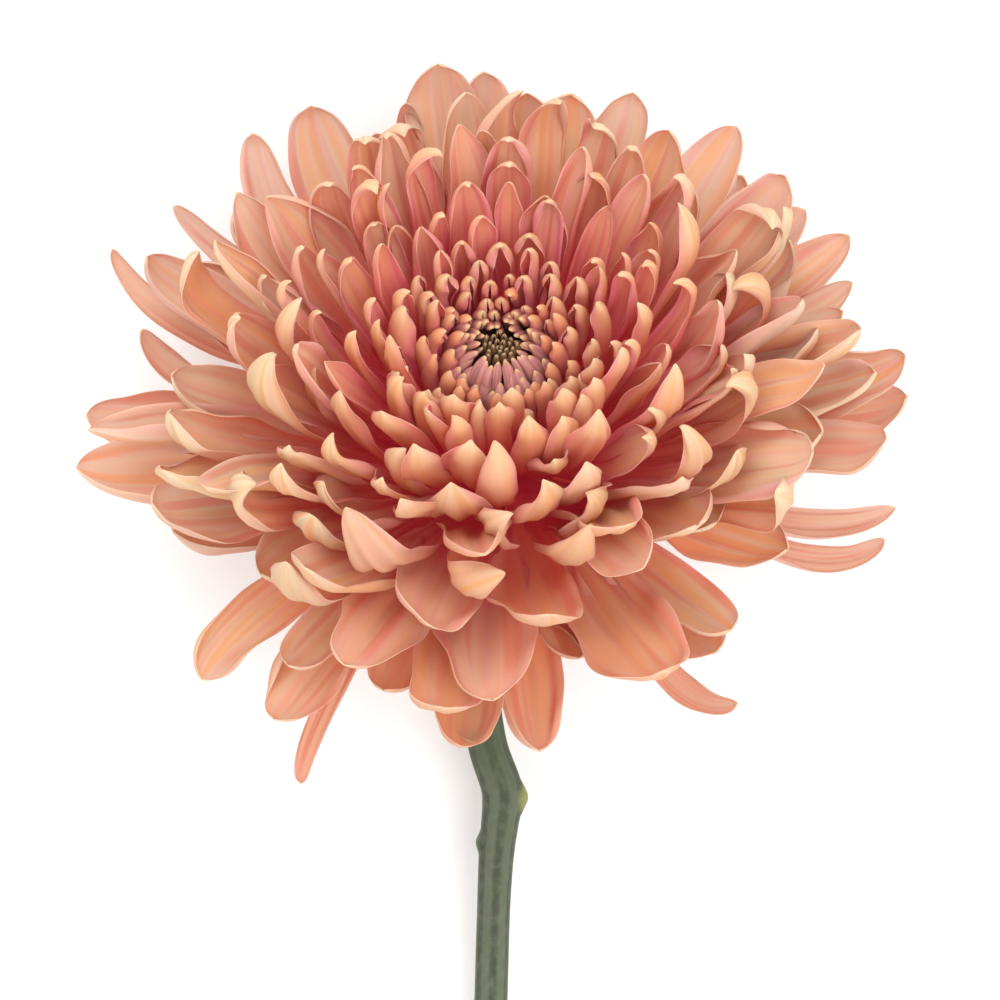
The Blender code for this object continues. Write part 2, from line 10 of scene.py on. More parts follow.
import bpy
import numpy as np
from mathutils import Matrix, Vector


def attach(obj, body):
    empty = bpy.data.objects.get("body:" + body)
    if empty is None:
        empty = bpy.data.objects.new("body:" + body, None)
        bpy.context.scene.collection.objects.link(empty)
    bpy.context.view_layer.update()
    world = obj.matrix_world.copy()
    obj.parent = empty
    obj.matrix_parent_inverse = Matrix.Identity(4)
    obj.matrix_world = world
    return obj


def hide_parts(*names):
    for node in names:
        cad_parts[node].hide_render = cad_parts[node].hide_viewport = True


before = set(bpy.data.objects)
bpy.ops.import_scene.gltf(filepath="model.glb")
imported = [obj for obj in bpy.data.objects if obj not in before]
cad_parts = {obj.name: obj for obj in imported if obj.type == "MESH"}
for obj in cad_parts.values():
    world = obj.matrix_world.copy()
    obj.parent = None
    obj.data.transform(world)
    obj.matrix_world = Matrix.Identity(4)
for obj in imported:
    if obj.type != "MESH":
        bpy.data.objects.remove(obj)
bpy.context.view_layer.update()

MM = 0.001

# The bloom's place, as the solids have it
AXIS_RISE = math.radians(53)
HEAD_PLACE = np.array([0.87, 47.89, 34.0])

# The camera looks straight down, from where 1000 pixels span 150 mm at the bloom's middle height
VIEW_CENTRE = (0.87, 39.64)
VIEW_HEIGHT = 1049.0
LENS = 240.0
SENSOR_WIDTH = 36

# The light: a bright sky, and the place, size and power of two soft lights, in metres and
# watts. The bounces are how far it is followed.
SKY_STRENGTH = 1.16
SOFTBOXES = {
    "top_softbox": ((-0.25, 0.75, 0.95), 1.0, 5.0),
    "front_softbox": ((0.45, -0.15, 1.20), 0.9, 6.6),
}
LIGHTS_AIM = (0, 0.04, 0.04)
MAX_BOUNCES = 5
DIFFUSE_BOUNCES = 3
FLOOR_HALF_WIDTH = 3.0
FLOOR_GREY = 0.93

# The spiral of florets, from the middle out, on the dome of the head
GOLDEN_ANGLE = math.radians(137.50776)
FLORETS = 322
SEED = 7
HEAD_RADIUS = 9.0
HEAD_DOME = 5.0
RECEPTACLE_RADIUS = 9.72
RECEPTACLE_SINK = 1.2
RECEPTACLE_BASE = ((8.1, -2.2), (0.0, -2.2))

# How a floret changes with its place in the spiral. Radius and height are of its
# tip, rises are the slopes at its root and tip, cups are half angles of its
# curved cross-section, and the curl bends the part past curl_start inwards.
RULE_COLUMNS = ("radius height base_rise tip_rise width cup_base cup_mid cup_tip curl "
                "curl_start taper_start").split()
RULE = {
    0: (0.5, 22, 88, 92, 1.9, 150, 150, 150, 0, .88, .88),
    14: (3, 23.2, 84, 112, 2.1, 150, 150, 150, 0, .88, .88),
    20: (3.6, 24.6, 78, 145, 3, 140, 115, 110, 20, .90, .90),
    50: (5.8, 27.5, 72, 138, 3.5, 130, 105, 105, 25, .90, .90),
    80: (9.6, 30.2, 66, 118, 3.9, 130, 100, 100, 30, .90, .88),
    115: (16.5, 33, 57, 102, 4.9, 120, 80, 88, 40, .89, .84),
    145: (24, 35, 48, 90, 6.6, 110, 62, 78, 50, .88, .76),
    176: (32.5, 35.5, 38, 78, 8.8, 100, 48, 66, 55, .87, .71),
    212: (41.5, 33.5, 28, 62, 11.2, 95, 42, 55, 50, .86, .66),
    245: (49.5, 29, 18, 44, 13.4, 90, 36, 46, 45, .85, .64),
    276: (55.5, 19.5, 8, 26, 14.4, 85, 34, 40, 40, .85, .62),
    304: (60, 6, -2, 6, 14, 80, 36, 38, 35, .86, .61),
    322: (57.5, -15, -16, -22, 12.5, 80, 44, 44, 25, .86, .61),
}

# Florets that stand out of the spiral, placed one by one. Rows that end early have the usual
# last values. Florets of the spiral past PLACED_FROM make room for them.
PLACED_COLUMNS = ("order azimuth radius height tip_rise width cup_mid curl "
                  "curl_start bend twist").split()
PLACED_USUAL = (.86, 0, 0)
PLACED = (
    (306, 5.5, 63.5, 2, 20, 13.5, 36, 30, .85), (300, 7, 63.5, 10, 25, 13, 36, 40, .85),
    (282, 14.5, 55, 14, 25, 9.5, 50, 30), (288, 21.5, 58.5, 12, 25, 9, 50, 20),
    (298, 32, 64.5, 8, 25, 11.5, 45, 20), (302, 40.5, 63, 6, 25, 11, 45, 20),
    (286, 43, 60.5, 14, 30, 9.5, 45, 40), (306, 53.5, 65.5, 0, 20, 12, 40, 30),
    (292, 54.5, 64.5, 12, 25, 12, 45, 30), (322, 62, 54, -24, -20, 13, 40, 10),
    (284, 69, 59.5, 18, 35, 13, 42, 30), (268, 77, 52, 24, 40, 13, 42, 40, .85),
    (290, 85.5, 56, 18, 40, 12.5, 42, 40, .85), (322, 90, 55, -24, -20, 13, 40, 10),
    (278, 92.5, 56.5, 22, 40, 10.5, 45, 40, .85), (280, 100, 57.5, 24, 40, 13, 42, 60, .85),
    (283, 104.5, 55, 20, 50, 5.5, 60, 60, .75, -20),
    (292, 111.5, 54.5, 14, 40, 9, 50, 40, .85),
    (296, 117.5, 65, 12, 30, 15.5, 38, 30, .86, -10),
    (322, 118, 54, -24, -20, 13, 40, 10),
    (290, 128, 62, 16, 30, 8, 50, 30, .86, -34),
    (298, 140, 67, 4, 20, 6.5, 58, 20, .86, 4), (282, 142, 53, 16, 30, 12, 42, 40),
    (300, 150, 70.5, 4, 30, 6, 60, 20, .86, -24), (290, 153.5, 62.5, 10, 30, 12, 42, 40),
    (296, 162, 58.5, 6, 50, 6.5, 60, 20, .86, -32),
    (308, 175, 64, -2, 10, 14.5, 38, 30, .86, 0, 10),
    (282, 179, 51, 14, 30, 13, 42, 40),
    (303, -173, 65, 2, 10, 16, 38, 30, .86, 0, 10),
    (300, -161.5, 56.5, 6, 20, 15, 36, 40), (306, -160.5, 53, 0, 20, 13, 38, 30),
    (316, -141.5, 57.5, -12, 0, 10.5, 46, 10, .86, 26, -10),
    (298, -141, 46.5, 4, 10, 14, 38, 40), (306, -127.5, 52.5, -2, 10, 10.5, 45, 30),
    (314, -126, 57, -10, 0, 13, 40, 30, .86, 8, 10),
    (320, -121.5, 59, -20, -10, 4.5, 70, 30, .84, 24, -20),
    (252, -113, 47, 25, 50, 12, 46, 125, .68, 0, 10),
    (306, -110.5, 49.5, -2, 10, 12, 38, 40),
    (248, -99, 46, 24, 50, 10, 50, 120, .74, 0, -30),
    (314, -96, 54.5, -6, 0, 12, 45, 40, .84), (316, -94.5, 52.5, -8, 0, 9.5, 45, 60, .84),
    (318, -83.5, 51, -10, -5, 11.5, 45, 20),
    (236, -76, 44, 27, 60, 10, 50, 100, .76, 0, 10),
    (302, -74, 43, 0, 10, 12, 38, 30), (296, -67.5, 44, 2, 10, 13, 38, 30),
    (304, -51, 51.5, 0, 20, 12.5, 40, 20), (248, -50, 46, 24, 30, 16, 30, 25),
    (290, -48.5, 52.5, 6, 20, 11, 38, 20),
    (316, -48.5, 55, -10, 35, 5.5, 60, 10, .86, 38, 20),
    (276, -39, 42, 14, 20, 15, 34, 20), (304, -25.5, 48.5, 0, 20, 12, 40, 20),
    (270, -13, 50.5, 16, 30, 15.5, 34, 30),
    (316, -11, 60.5, -8, 45, 5.5, 65, 10, .86, 26, 20),
    (312, -8.5, 61, -4, 22, 6, 75, 10, .86, 24, 20),
)
PLACED_CLEARANCE = 8.5
PLACED_FROM = 190

# Florets of the spiral that this bloom has lost, where its outline has gaps
LOST_FLORETS = (210, 237, 242, 247, 250, 255, 257, 268, 271, 276, 281,
                289, 293, 300, 302, 306, 311, 313, 314, 316, 318)

# Florets that would cross the finished ones over them: order, azimuth and how far they sink
TUCKED = ((290, -90.9, 2.9), (303, -97.8, 2.2), (296, -67.5, 1.8), (290, -48.5, 1.8))

# The buds that stand for the spiral's first florets, on a dome of their own
FIRST_FLORET = 10
BUDS = 24
BUD_SPREAD = 2.75
BUD_HEIGHT = 24.6
BUD_DOME = 0.06
BUD_WIDTH = 2.8
BUD_RISE = 92

# The slim florets between those of the spiral, in the ring round the buds
RING_FLORETS = 26
RING_ORDERS = (12, 42)
RING_TURN = 0.4
RING_SLIMNESS = 0.78

# The form that all florets share. Stations bunch towards the tip, the body is full from
# BODY_FULL_AT on, and the handles are shares of the length between root and tip.
STATION_BUNCHING = 1.7
HANDLE_SHARES = (0.38, 0.36)
BODY_FULL_AT = 0.64
BODY_POWER = 0.85
HOOK_START = 0.955
LEAST_TURN = 0.02
CURL_REACH = 1.05

# The florets' own thickness and relief, and how softly the floor bends them. Each later
# floret lies a layer lower there than the one before it.
FLORET_THICKNESS = 0.36
RIM_THINNESS = 0.18
GROOVE_SHARE = 0.03
RIPPLE_SHARE = 0.06
FLOOR_SOFTNESS = 2.5
FLOOR_LAYER = 0.02
FLOOR_GAP = 0.05

# The pieces of the bloom: the node that each stands for, from which floret to which,
# and how many faces each floret has along and across
FLORET_PIECES = {
    "slim_ray_florets": ("ray_florets", 50, 110, 30, 12),
    "hooded_ray_florets": ("ray_florets", 110, 190, 34, 16),
    "broad_ray_florets": ("ray_florets", 190, 252, 40, 18),
    "outer_ray_florets": ("ray_florets", 252, 290, 40, 20),
    "lowest_ray_florets": ("ray_florets", 290, 400, 40, 20),
    "centre_florets": ("centre_florets", 0, 50, 24, 12),
}

# The green cup and its bracts: how many, tip radius and height, width, turn
CUP_PROFILE = ((0.0, -2.3), (9.5, -2.3), (10.2, -2.9), (9.5, -4.4), (7.0, -6.8), (4.8, -8.8),
               (3.4, -9.6))
BRACT_ROWS = ((13, 13.2, -4.9, 5.2, 0.0), (8, 10.2, -7.0, 5.0, 14.0))
BRACT_ROOT = (4.2, -8.6)
BRACT_FACES = (18, 10)
BRACT_ARCH = 0.35
BRACT_THICKNESS = 0.7
BRACT_RIPPLE = 0.02
BRACT_CUP = math.radians(28)
BRACT_FORM = {
    "order": FLORETS, "claw": 0.8, "taper_start": 0.35, "tip_fullness": 1.5, "tip_point": 0.6,
    "cup_base": BRACT_CUP, "cup_mid": BRACT_CUP, "cup_tip": BRACT_CUP,
    "curl": LEAST_TURN, "curl_start": 0.85, "hook": 0.05, "hook_start": 0.95,
    "roll": 0.1, "lean": 0.01, "roll_start": 0.8, "groove": 0.02, "near": 0.5,
}

# The stem's middle line: across and along from the head's place, height and diameter
STEM_ROUTE = (
    (0, -4, 29.2, 5.8), (0, -8.6, 23.2, 5.6), (-0.5, -13.8, 18.2, 5.5),
    (-1.6, -21, 14.2, 5.5), (-2.6, -29.5, 12.2, 5.6), (-2.9, -39, 11.2, 5.8),
    (-1.9, -46.5, 10.6, 5.9), (0.1, -52.5, 10.1, 6.1), (0.4, -55, 9.9, 6.1),
    (0, -58.5, 9.6, 5.6), (-0.6, -64, 9.2, 5.2), (-1, -72, 8.6, 4.9),
    (-1.3, -82, 7.8, 4.9), (-1.9, -105, 6.1, 4.9), (-2.6, -130, 4.15, 5),
    (-3, -155, 2.3, 5),
)
STEM_STATIONS = 420
STEM_SIDES = 72
STEM_RIBS = 6
RIB_DEPTH = 0.055
FINE_RIB_DEPTH = 0.03
LOWEST_STEM = 0.02

# The swollen node where a leaf was, and the small bump below it: place, height and reach
STEM_NODE = ((3.5, -54.6, 9.9), 0.9, 3.2)
STEM_BUMP = ((-3.1, -61.6, 9.4), 0.6, 2.2)


class Values(dict):
    """Named values, written like attributes."""
    __getattr__ = dict.__getitem__
    __setattr__ = dict.__setitem__


def ramp(x, low, high):
    """Nothing below low and one above high, with a smooth slope between them."""
    x = np.clip((x - low) / (high - low), 0, 1)
    return x * x * (3 - 2 * x)


def hump(x, low, full, fading, gone):
    """One between full and fading, with smooth slopes down to low and to gone."""
    return ramp(x, low, full) * (1 - ramp(x, fading, gone))


def polar(radius, azimuth, height):
    parts = np.broadcast_arrays(radius * np.cos(azimuth), radius * np.sin(azimuth), height)
    return np.stack(parts, -1)


def flower_to_world(p):
    """Turn points or directions from the flower's frame, its axis up, to the lying one."""
    up, over = math.sin(AXIS_RISE), math.cos(AXIS_RISE)
    return np.stack([p[..., 0],
                     p[..., 1] * up + p[..., 2] * over,
                     p[..., 2] * up - p[..., 1] * over], -1)


def new_object(name, data):
    thing = bpy.data.objects.new(name, data)
    bpy.context.scene.collection.objects.link(thing)
    return thing


def new_mesh(name, places, edges=(), faces=(), material=None):
    mesh = bpy.data.meshes.new(name)
    mesh.from_pydata(places, edges, faces)
    if material:
        mesh.materials.append(material)
    return mesh


# Arithmetic on node sockets, for geometry and shader trees alike

class Field:
    """A socket's value, which plain arithmetic can be written with."""

    def __init__(self, tree, socket):
        self.tree = tree
        self.socket = socket


def fill(socket, value):
    """Link a Field to a socket, or set a plain value on it."""
    if isinstance(value, Field):
        value.tree.links.new(value.socket, socket)
    else:
        socket.default_value = value


def set_inputs(node, values):
    for name, value in values.items():
        fill(node.inputs[name], value)


def add_node(tree, kind, inputs=None, **settings):
    node = tree.nodes.new(kind)
    for name, value in settings.items():
        setattr(node, name, value)
    set_inputs(node, inputs or {})
    return node


def result(tree, kind, inputs=None, output=0, **settings):
    """Add a node and take what it puts out."""
    return Field(tree, add_node(tree, kind, inputs, **settings).outputs[output])


def is_vector(value):
    if isinstance(value, Field):
        return value.socket.type == 'VECTOR'
    return isinstance(value, tuple)


def calculate(tree, operation, *values):
    """One step of arithmetic, on numbers or on vectors, or a vector scaled by a number."""
    vectors = [value for value in values if is_vector(value)]
    kind = "ShaderNodeVectorMath" if vectors else "ShaderNodeMath"
    node = add_node(tree, kind, operation=operation)
    if len(vectors) == 1 and len(values) == 2:
        node.operation = 'SCALE'
        number = next(value for value in values if not is_vector(value))
        set_inputs(node, {0: vectors[0], "Scale": number})
    else:
        for socket, value in zip(node.inputs, values):
            fill(socket, value)
    one_number = not vectors or operation in ('DOT_PRODUCT', 'LENGTH')
    return Field(tree, node.outputs["Value" if one_number else "Vector"])


def function_of(operation, turned=False):
    """A function that takes one step of arithmetic on Fields, turned if the first comes last."""
    def step(x, *others):
        values = (*others, x) if turned else (x, *others)
        return calculate(x.tree, operation, *values)
    return step


for method, operation in (("add", 'ADD'), ("sub", 'SUBTRACT'), ("mul", 'MULTIPLY'),
                          ("truediv", 'DIVIDE'), ("pow", 'POWER')):
    setattr(Field, "__%s__" % method, function_of(operation))
    setattr(Field, "__r%s__" % method, function_of(operation, turned=True))

sine, cosine, absolute, sign, size_of, direction = (
    function_of(name) for name in ('SINE', 'COSINE', 'ABSOLUTE', 'SIGN', 'LENGTH', 'NORMALIZE'))
larger, smaller, dot, cross = (
    function_of(name) for name in ('MAXIMUM', 'MINIMUM', 'DOT_PRODUCT', 'CROSS_PRODUCT'))


def rising(x, low, high, shape='SMOOTHSTEP'):
    """Nothing below low and one above high, with a smooth or a straight slope between them."""
    return result(x.tree, "ShaderNodeMapRange", {"Value": x, "From Min": low, "From Max": high},
                  interpolation_type=shape)


def split(v):
    node = add_node(v.tree, "ShaderNodeSeparateXYZ", {"Vector": v})
    return [Field(v.tree, socket) for socket in node.outputs]


def merge(x, y, z):
    return result(x.tree, "ShaderNodeCombineXYZ", {"X": x, "Y": y, "Z": z})


def new_tree(name, kind, inputs, outputs):
    """A tree with its named ways in, as Fields, and its way out."""
    tree = bpy.data.node_groups.new(name, kind)
    for in_out, sockets in (('INPUT', inputs), ('OUTPUT', outputs)):
        for socket_name, socket_kind in sockets.items():
            tree.interface.new_socket(socket_name, in_out=in_out,
                                      socket_type="NodeSocket" + socket_kind)
    entry = tree.nodes.new("NodeGroupInput")
    given = {socket.name: Field(tree, socket) for socket in entry.outputs if socket.name}
    return tree, given, tree.nodes.new("NodeGroupOutput")


# Geometry trees

def new_form(name, inputs):
    """A tree that takes a geometry and named inputs, and puts out a geometry."""
    geometry = {"Geometry": "Geometry"}
    return new_tree(name, 'GeometryNodeTree', {**geometry, **inputs}, geometry)


def stored(geometry, name, value):
    node = add_node(geometry.tree, "GeometryNodeStoreNamedAttribute",
                    {"Geometry": geometry, "Name": name}, domain='POINT',
                    data_type='FLOAT_VECTOR' if is_vector(value) else 'FLOAT')
    fill(next(s for s in node.inputs if s.name == "Value" and s.enabled), value)
    return Field(geometry.tree, node.outputs[0])


def kept_values(tree, names, kind='FLOAT'):
    """The values stored on the mesh under these names."""
    kept = Values()
    for name in names:
        node = add_node(tree, "GeometryNodeInputNamedAttribute", {"Name": name}, data_type=kind)
        socket = next(s for s in node.outputs if s.name == "Attribute" and s.enabled)
        kept[name] = Field(tree, socket)
    return kept


def finish_tree(leave, geometry, material):
    """Smooth shading, no instances left, the material, and the way out."""
    tree = geometry.tree
    geometry = result(tree, "GeometryNodeSetShadeSmooth", {"Geometry": geometry})
    geometry = result(tree, "GeometryNodeRealizeInstances", {"Geometry": geometry})
    geometry = result(tree, "GeometryNodeSetMaterial",
                      {"Geometry": geometry, "Material": material})
    fill(leave.inputs[0], geometry)


def grown(name, source, tree, values, kept):
    """Run a tree on a source mesh and keep what it makes as a plain mesh piece."""
    carrier = new_object(name + "_source", source)
    modifier = carrier.modifiers.new("tree", 'NODES')
    modifier.node_group = tree
    for item in tree.interface.items_tree:
        if item.in_out == 'INPUT' and item.name in values:
            modifier[item.identifier] = values[item.name]
    bpy.context.view_layer.update()
    evaluated = carrier.evaluated_get(bpy.context.evaluated_depsgraph_get())
    mesh = bpy.data.meshes.new_from_object(evaluated)
    bpy.data.objects.remove(carrier)
    for attribute in [a for a in mesh.attributes if a.domain == 'POINT' and not a.is_internal]:
        if attribute.name not in kept and attribute.name != "position":
            mesh.attributes.remove(attribute)
    mesh.name = name
    return new_object(name, mesh)


# What each floret's point carries into its form, and what its surface keeps for the material
FLORET_VECTORS = "root handle_1 handle_2 tip side end_side".split()
FLORET_NUMBERS = ("order width length claw taper_start tip_fullness tip_point cup_base cup_mid "
                  "cup_tip curl curl_start hook hook_start roll lean roll_start groove "
                  "phase").split()
FLORET_TINTS = ["tint", "warmth", "near"]
SHADE_VALUES = ["along", "across", "inner", "order"] + FLORET_TINTS


def points_with(values, chosen):
    """A mesh of loose points at the origin, one a floret, which carry the florets' values."""
    mesh = new_mesh("points", [(0, 0, 0)] * int(chosen.sum()))
    for names, kind, key in ((FLORET_VECTORS, 'FLOAT_VECTOR', "vector"),
                             (FLORET_NUMBERS + FLORET_TINTS, 'FLOAT', "value")):
        for name in names:
            attribute = mesh.attributes.new(name, kind, 'POINT')
            attribute.data.foreach_set(key, values[name][chosen].astype(np.float32).ravel())
    return mesh


def bowed(turn, length, share):
    """How far a bent part's end moves along and off its straight line, over a share of it."""
    radius = length / turn
    angle = turn * share
    return angle, radius * sine(angle) - length * share, radius * (1 - cosine(angle))


def floret_tree():
    """Give each point a floret: a closed thin sheet bent along its midline and cupped across."""
    tree, given, leave = new_form("floret form", {
        "Stations Along": "Int", "Stations Across": "Int", "Thickness": "Float",
        "Ripple Share": "Float", "Floor Softness": "Float", "Material": "Material"})
    geometry = result(tree, "GeometryNodeMeshCube", {
        "Size": (1, 1, 1), "Vertices X": given["Stations Across"],
        "Vertices Y": given["Stations Along"], "Vertices Z": 2}, "Mesh")
    x, y, z = split(result(tree, "GeometryNodeInputPosition"))
    geometry = stored(geometry, "along", 1 - (0.5 - y) ** STATION_BUNCHING)
    geometry = stored(geometry, "across", sine(x * -math.pi))
    geometry = stored(geometry, "inner", z + 0.5)
    geometry = result(tree, "GeometryNodeInstanceOnPoints",
                      {"Points": given["Geometry"], "Instance": geometry})
    geometry = result(tree, "GeometryNodeRealizeInstances", {"Geometry": geometry})
    s, t, inner = kept_values(tree, ("along", "across", "inner")).values()
    v = kept_values(tree, FLORET_VECTORS, 'FLOAT_VECTOR')
    f = kept_values(tree, FLORET_NUMBERS)

    # the midline, its direction, and the sheet's side and normal there
    root, h1, h2, tip = (v[name] for name in ("root", "handle_1", "handle_2", "tip"))
    r = 1 - s
    centre = (root * (r * r * r) + h1 * (3 * r * r * s) + h2 * (3 * r * s * s)
              + tip * (s * s * s))
    along = direction((h1 - root) * (r * r) + (h2 - h1) * (2 * r * s) + (tip - h2) * (s * s))
    side = v.side * r + v.end_side * s
    side = direction(side - along * dot(side, along))
    normal = cross(along, side)

    # the curl of the outer part, and the tighter hook of the very tip
    for turn, start, reach in ((f.curl, f.curl_start, CURL_REACH),
                               (f.hook, f.hook_start, 1.0)):
        bent_length = (1 - start) * f.length * reach
        angle, ahead, off = bowed(turn, bent_length, rising(s, start, 1.0, 'LINEAR'))
        centre = centre + along * ahead + normal * off
        along, normal = (along * cosine(angle) + normal * sine(angle),
                         normal * cosine(angle) - along * sine(angle))

    # the width, and the cup of the cross-section
    body = f.claw + (1 - f.claw) * rising(s, 0.0, BODY_FULL_AT) ** BODY_POWER
    past_taper = rising(s, f.taper_start, 1.0, 'LINEAR')
    taper = larger(1 - past_taper ** f.tip_fullness, 0.0001) ** f.tip_point
    half = 0.5 * f.width * body * taper
    cup = f.cup_base + (f.cup_mid - f.cup_base) * rising(s, 0.0, 0.45)
    cup = cup + (f.cup_tip - f.cup_mid) * rising(s, 0.7, 1.0)
    angle = cup * t
    reach = half * sine(angle) / cup
    lift = half * (1 - cosine(angle)) / cup
    across = side * cosine(angle) + normal * sine(angle)
    facing = normal * cosine(angle) - side * sine(angle)

    # the rim rolls in, or a little back, past most of the half width
    outward = sign(t)
    roll = (f.roll + f.lean * outward) * rising(s, 0.35, 0.92)
    roll = sign(roll) * larger(absolute(roll), LEAST_TURN)
    past_rim = rising(absolute(t), f.roll_start, 1.0, 'LINEAR')
    angle, ahead, off = bowed(roll, half * (1 - f.roll_start), past_rim)
    rolled = across * (outward * ahead) + facing * off
    facing = facing * cosine(angle) - across * (outward * sine(angle))

    # long soft grooves, and rims that wave
    groove = f.groove * f.width * cosine(t * (3 * math.pi) + f.phase * 0.2)
    groove = groove * sine(math.pi * s) * rising(1 - absolute(t), 0.0, 0.3)
    wave = (sine(s * 10.0 + f.phase + t * 2.2)
            + 0.5 * sine(s * 23.0 - f.phase * 2.0 + t * 3.0))
    ripple = given["Ripple Share"] * f.width * wave * rising(absolute(t), 0.25, 1.0)
    ripple = ripple * rising(s, 0.15, 0.7) * (1 - 0.75 * rising(s, 0.85, 1.0))

    # the thickness, finer towards the rim and the tip
    edge = (1 - absolute(t) ** 5.0) * (1 - 0.6 * rising(s, 0.92, 1.0))
    share = RIM_THINNESS + (1 - RIM_THINNESS) * edge
    thickness = given["Thickness"] * 0.5 * share * (inner * 2 - 1)
    place = centre + side * reach + normal * lift + rolled
    place = place + facing * (ripple - groove + thickness)

    # pressed softly onto the floor where it would be under it
    x, y, z = split(place)
    lowest = (FLORETS - f.order) * FLOOR_LAYER + FLOOR_GAP + given["Thickness"] * inner
    soft = given["Floor Softness"]
    drop = z - lowest
    pressed = smaller(larger(drop + soft, 0.0), 2 * soft)
    z = lowest + pressed * pressed / (4 * soft) + larger(drop - soft, 0.0)
    geometry = result(tree, "GeometryNodeSetPosition",
                      {"Geometry": geometry, "Position": merge(x, y, z) * MM})
    finish_tree(leave, geometry, given["Material"])
    return tree


# The rule of the florets

def rule_at(order):
    keys = sorted(RULE)
    rows = np.array([RULE[k] for k in keys])
    return Values((name, np.interp(order, keys, rows[:, c]))
                  for c, name in enumerate(RULE_COLUMNS))


def unevenness(order):
    """How unevenly florets grow: the inner ones hardly, the outer ones in full."""
    return np.clip((order - 50) / 120, 0, 1)


def spiral_florets():
    """The florets of the spiral, with the uneven growth of a real bloom."""
    rng = np.random.default_rng(SEED)
    order = np.arange(FLORETS, dtype=float)
    f = rule_at(order)
    uneven = unevenness(order)
    outer = np.clip((order - 160) / 60, 0, 1)

    def draw(spread):
        return rng.normal(0, 1, FLORETS) * spread

    azimuth = order * GOLDEN_ANGLE + np.radians(draw(2.0 + 2.5 * uneven))
    near_side = np.maximum(-np.sin(azimuth), 0)
    f.radius = f.radius * (1 + draw(0.03)) + draw(1.2 * uneven)
    f.radius *= 1 - 0.06 * near_side * outer
    f.height += draw(0.4 + 1.6 * uneven)
    f.tip_rise += draw(4 + 10 * uneven)
    f.base_rise += draw(3 * uneven)
    f.width *= 1 + draw(0.10)
    f.cup_mid *= 1 + draw(0.12)
    f.curl *= np.clip(1 + draw(0.45), 0, 2.4)
    kind = rng.random(FLORETS)
    hooked = kind < 0.24 * outer
    quilled = kind > 1 - 0.12 * uneven
    f.curl = np.where(hooked, f.curl * 0.5 + 75, f.curl)
    f.curl_start = np.where(hooked, f.curl_start - 0.10, f.curl_start)
    f.cup_mid = np.where(quilled, 95, f.cup_mid)
    f.cup_tip = np.where(quilled, 85, f.cup_tip)
    f.bend = draw(2 + 9 * uneven)
    f.twist = draw(4 + 13 * uneven)
    f.update(order=order, azimuth=azimuth)
    return f


def middle_buds():
    """The buds in the middle, closed and close together, on a low dome of their own."""
    rng = np.random.default_rng(SEED + 3)
    turn = np.arange(BUDS, dtype=float)
    f = rule_at(np.zeros(BUDS))
    f.azimuth = turn * GOLDEN_ANGLE + np.radians(rng.normal(0, 6, BUDS))
    f.radius = BUD_SPREAD * np.sqrt((turn + 0.5) / BUDS)
    f.height = BUD_HEIGHT + BUD_DOME * f.radius ** 2 + rng.normal(0, 0.32, BUDS)
    f.width = BUD_WIDTH * (1 + rng.normal(0, 0.08, BUDS))
    f.tip_rise = BUD_RISE + 7 * f.radius
    f.bend = f.twist = np.zeros(BUDS)
    f.order = turn * (FIRST_FLORET - 1) / BUDS
    return f


def ring_florets():
    """The slim florets that fill the ring, at a turn of their own."""
    rng = np.random.default_rng(SEED + 4)
    turn = np.arange(RING_FLORETS, dtype=float)
    first, last = RING_ORDERS
    order = first + (last - first) * turn / RING_FLORETS
    f = rule_at(order)
    f.azimuth = turn * GOLDEN_ANGLE + RING_TURN + np.radians(rng.normal(0, 4, RING_FLORETS))
    f.radius += rng.normal(0, 0.15, RING_FLORETS)
    f.height += rng.normal(0, 0.4, RING_FLORETS)
    f.bend = rng.normal(0, 3, RING_FLORETS)
    f.twist = rng.normal(0, 4, RING_FLORETS)
    f.order = order + 0.5
    return f


def placed_florets():
    needed = len(PLACED_COLUMNS) - len(PLACED_USUAL)
    rows = [row + PLACED_USUAL[len(row) - needed:] for row in PLACED]
    placed = Values(zip(PLACED_COLUMNS, np.array(rows).T))
    f = rule_at(placed.order)
    f.update(placed)
    f.azimuth = np.radians(f.azimuth)
    f.cup_tip = f.cup_mid * 0.95 + 4
    return f


def all_florets():
    """The buds, the ring, the spiral and the placed florets, in order.

    Florets of the spiral that stand in the way of a placed one are left out.
    """
    spiral, placed = spiral_florets(), placed_florets()
    tips = polar(spiral.radius, spiral.azimuth, spiral.height)
    keep = ~np.isin(spiral.order, LOST_FLORETS) & (spiral.order >= FIRST_FLORET)
    for tip in polar(placed.radius, placed.azimuth, placed.height):
        close = np.linalg.norm(tips - tip, axis=-1) < PLACED_CLEARANCE
        keep &= ~(close & (spiral.order > PLACED_FROM))
    spiral = {name: values[keep] for name, values in spiral.items()}
    groups = (middle_buds(), ring_florets(), spiral, placed)
    f = Values((name, np.concatenate([group[name] for group in groups])) for name in spiral)
    arranged = np.argsort(f.order, kind="stable")
    return Values((name, values[arranged]) for name, values in f.items())


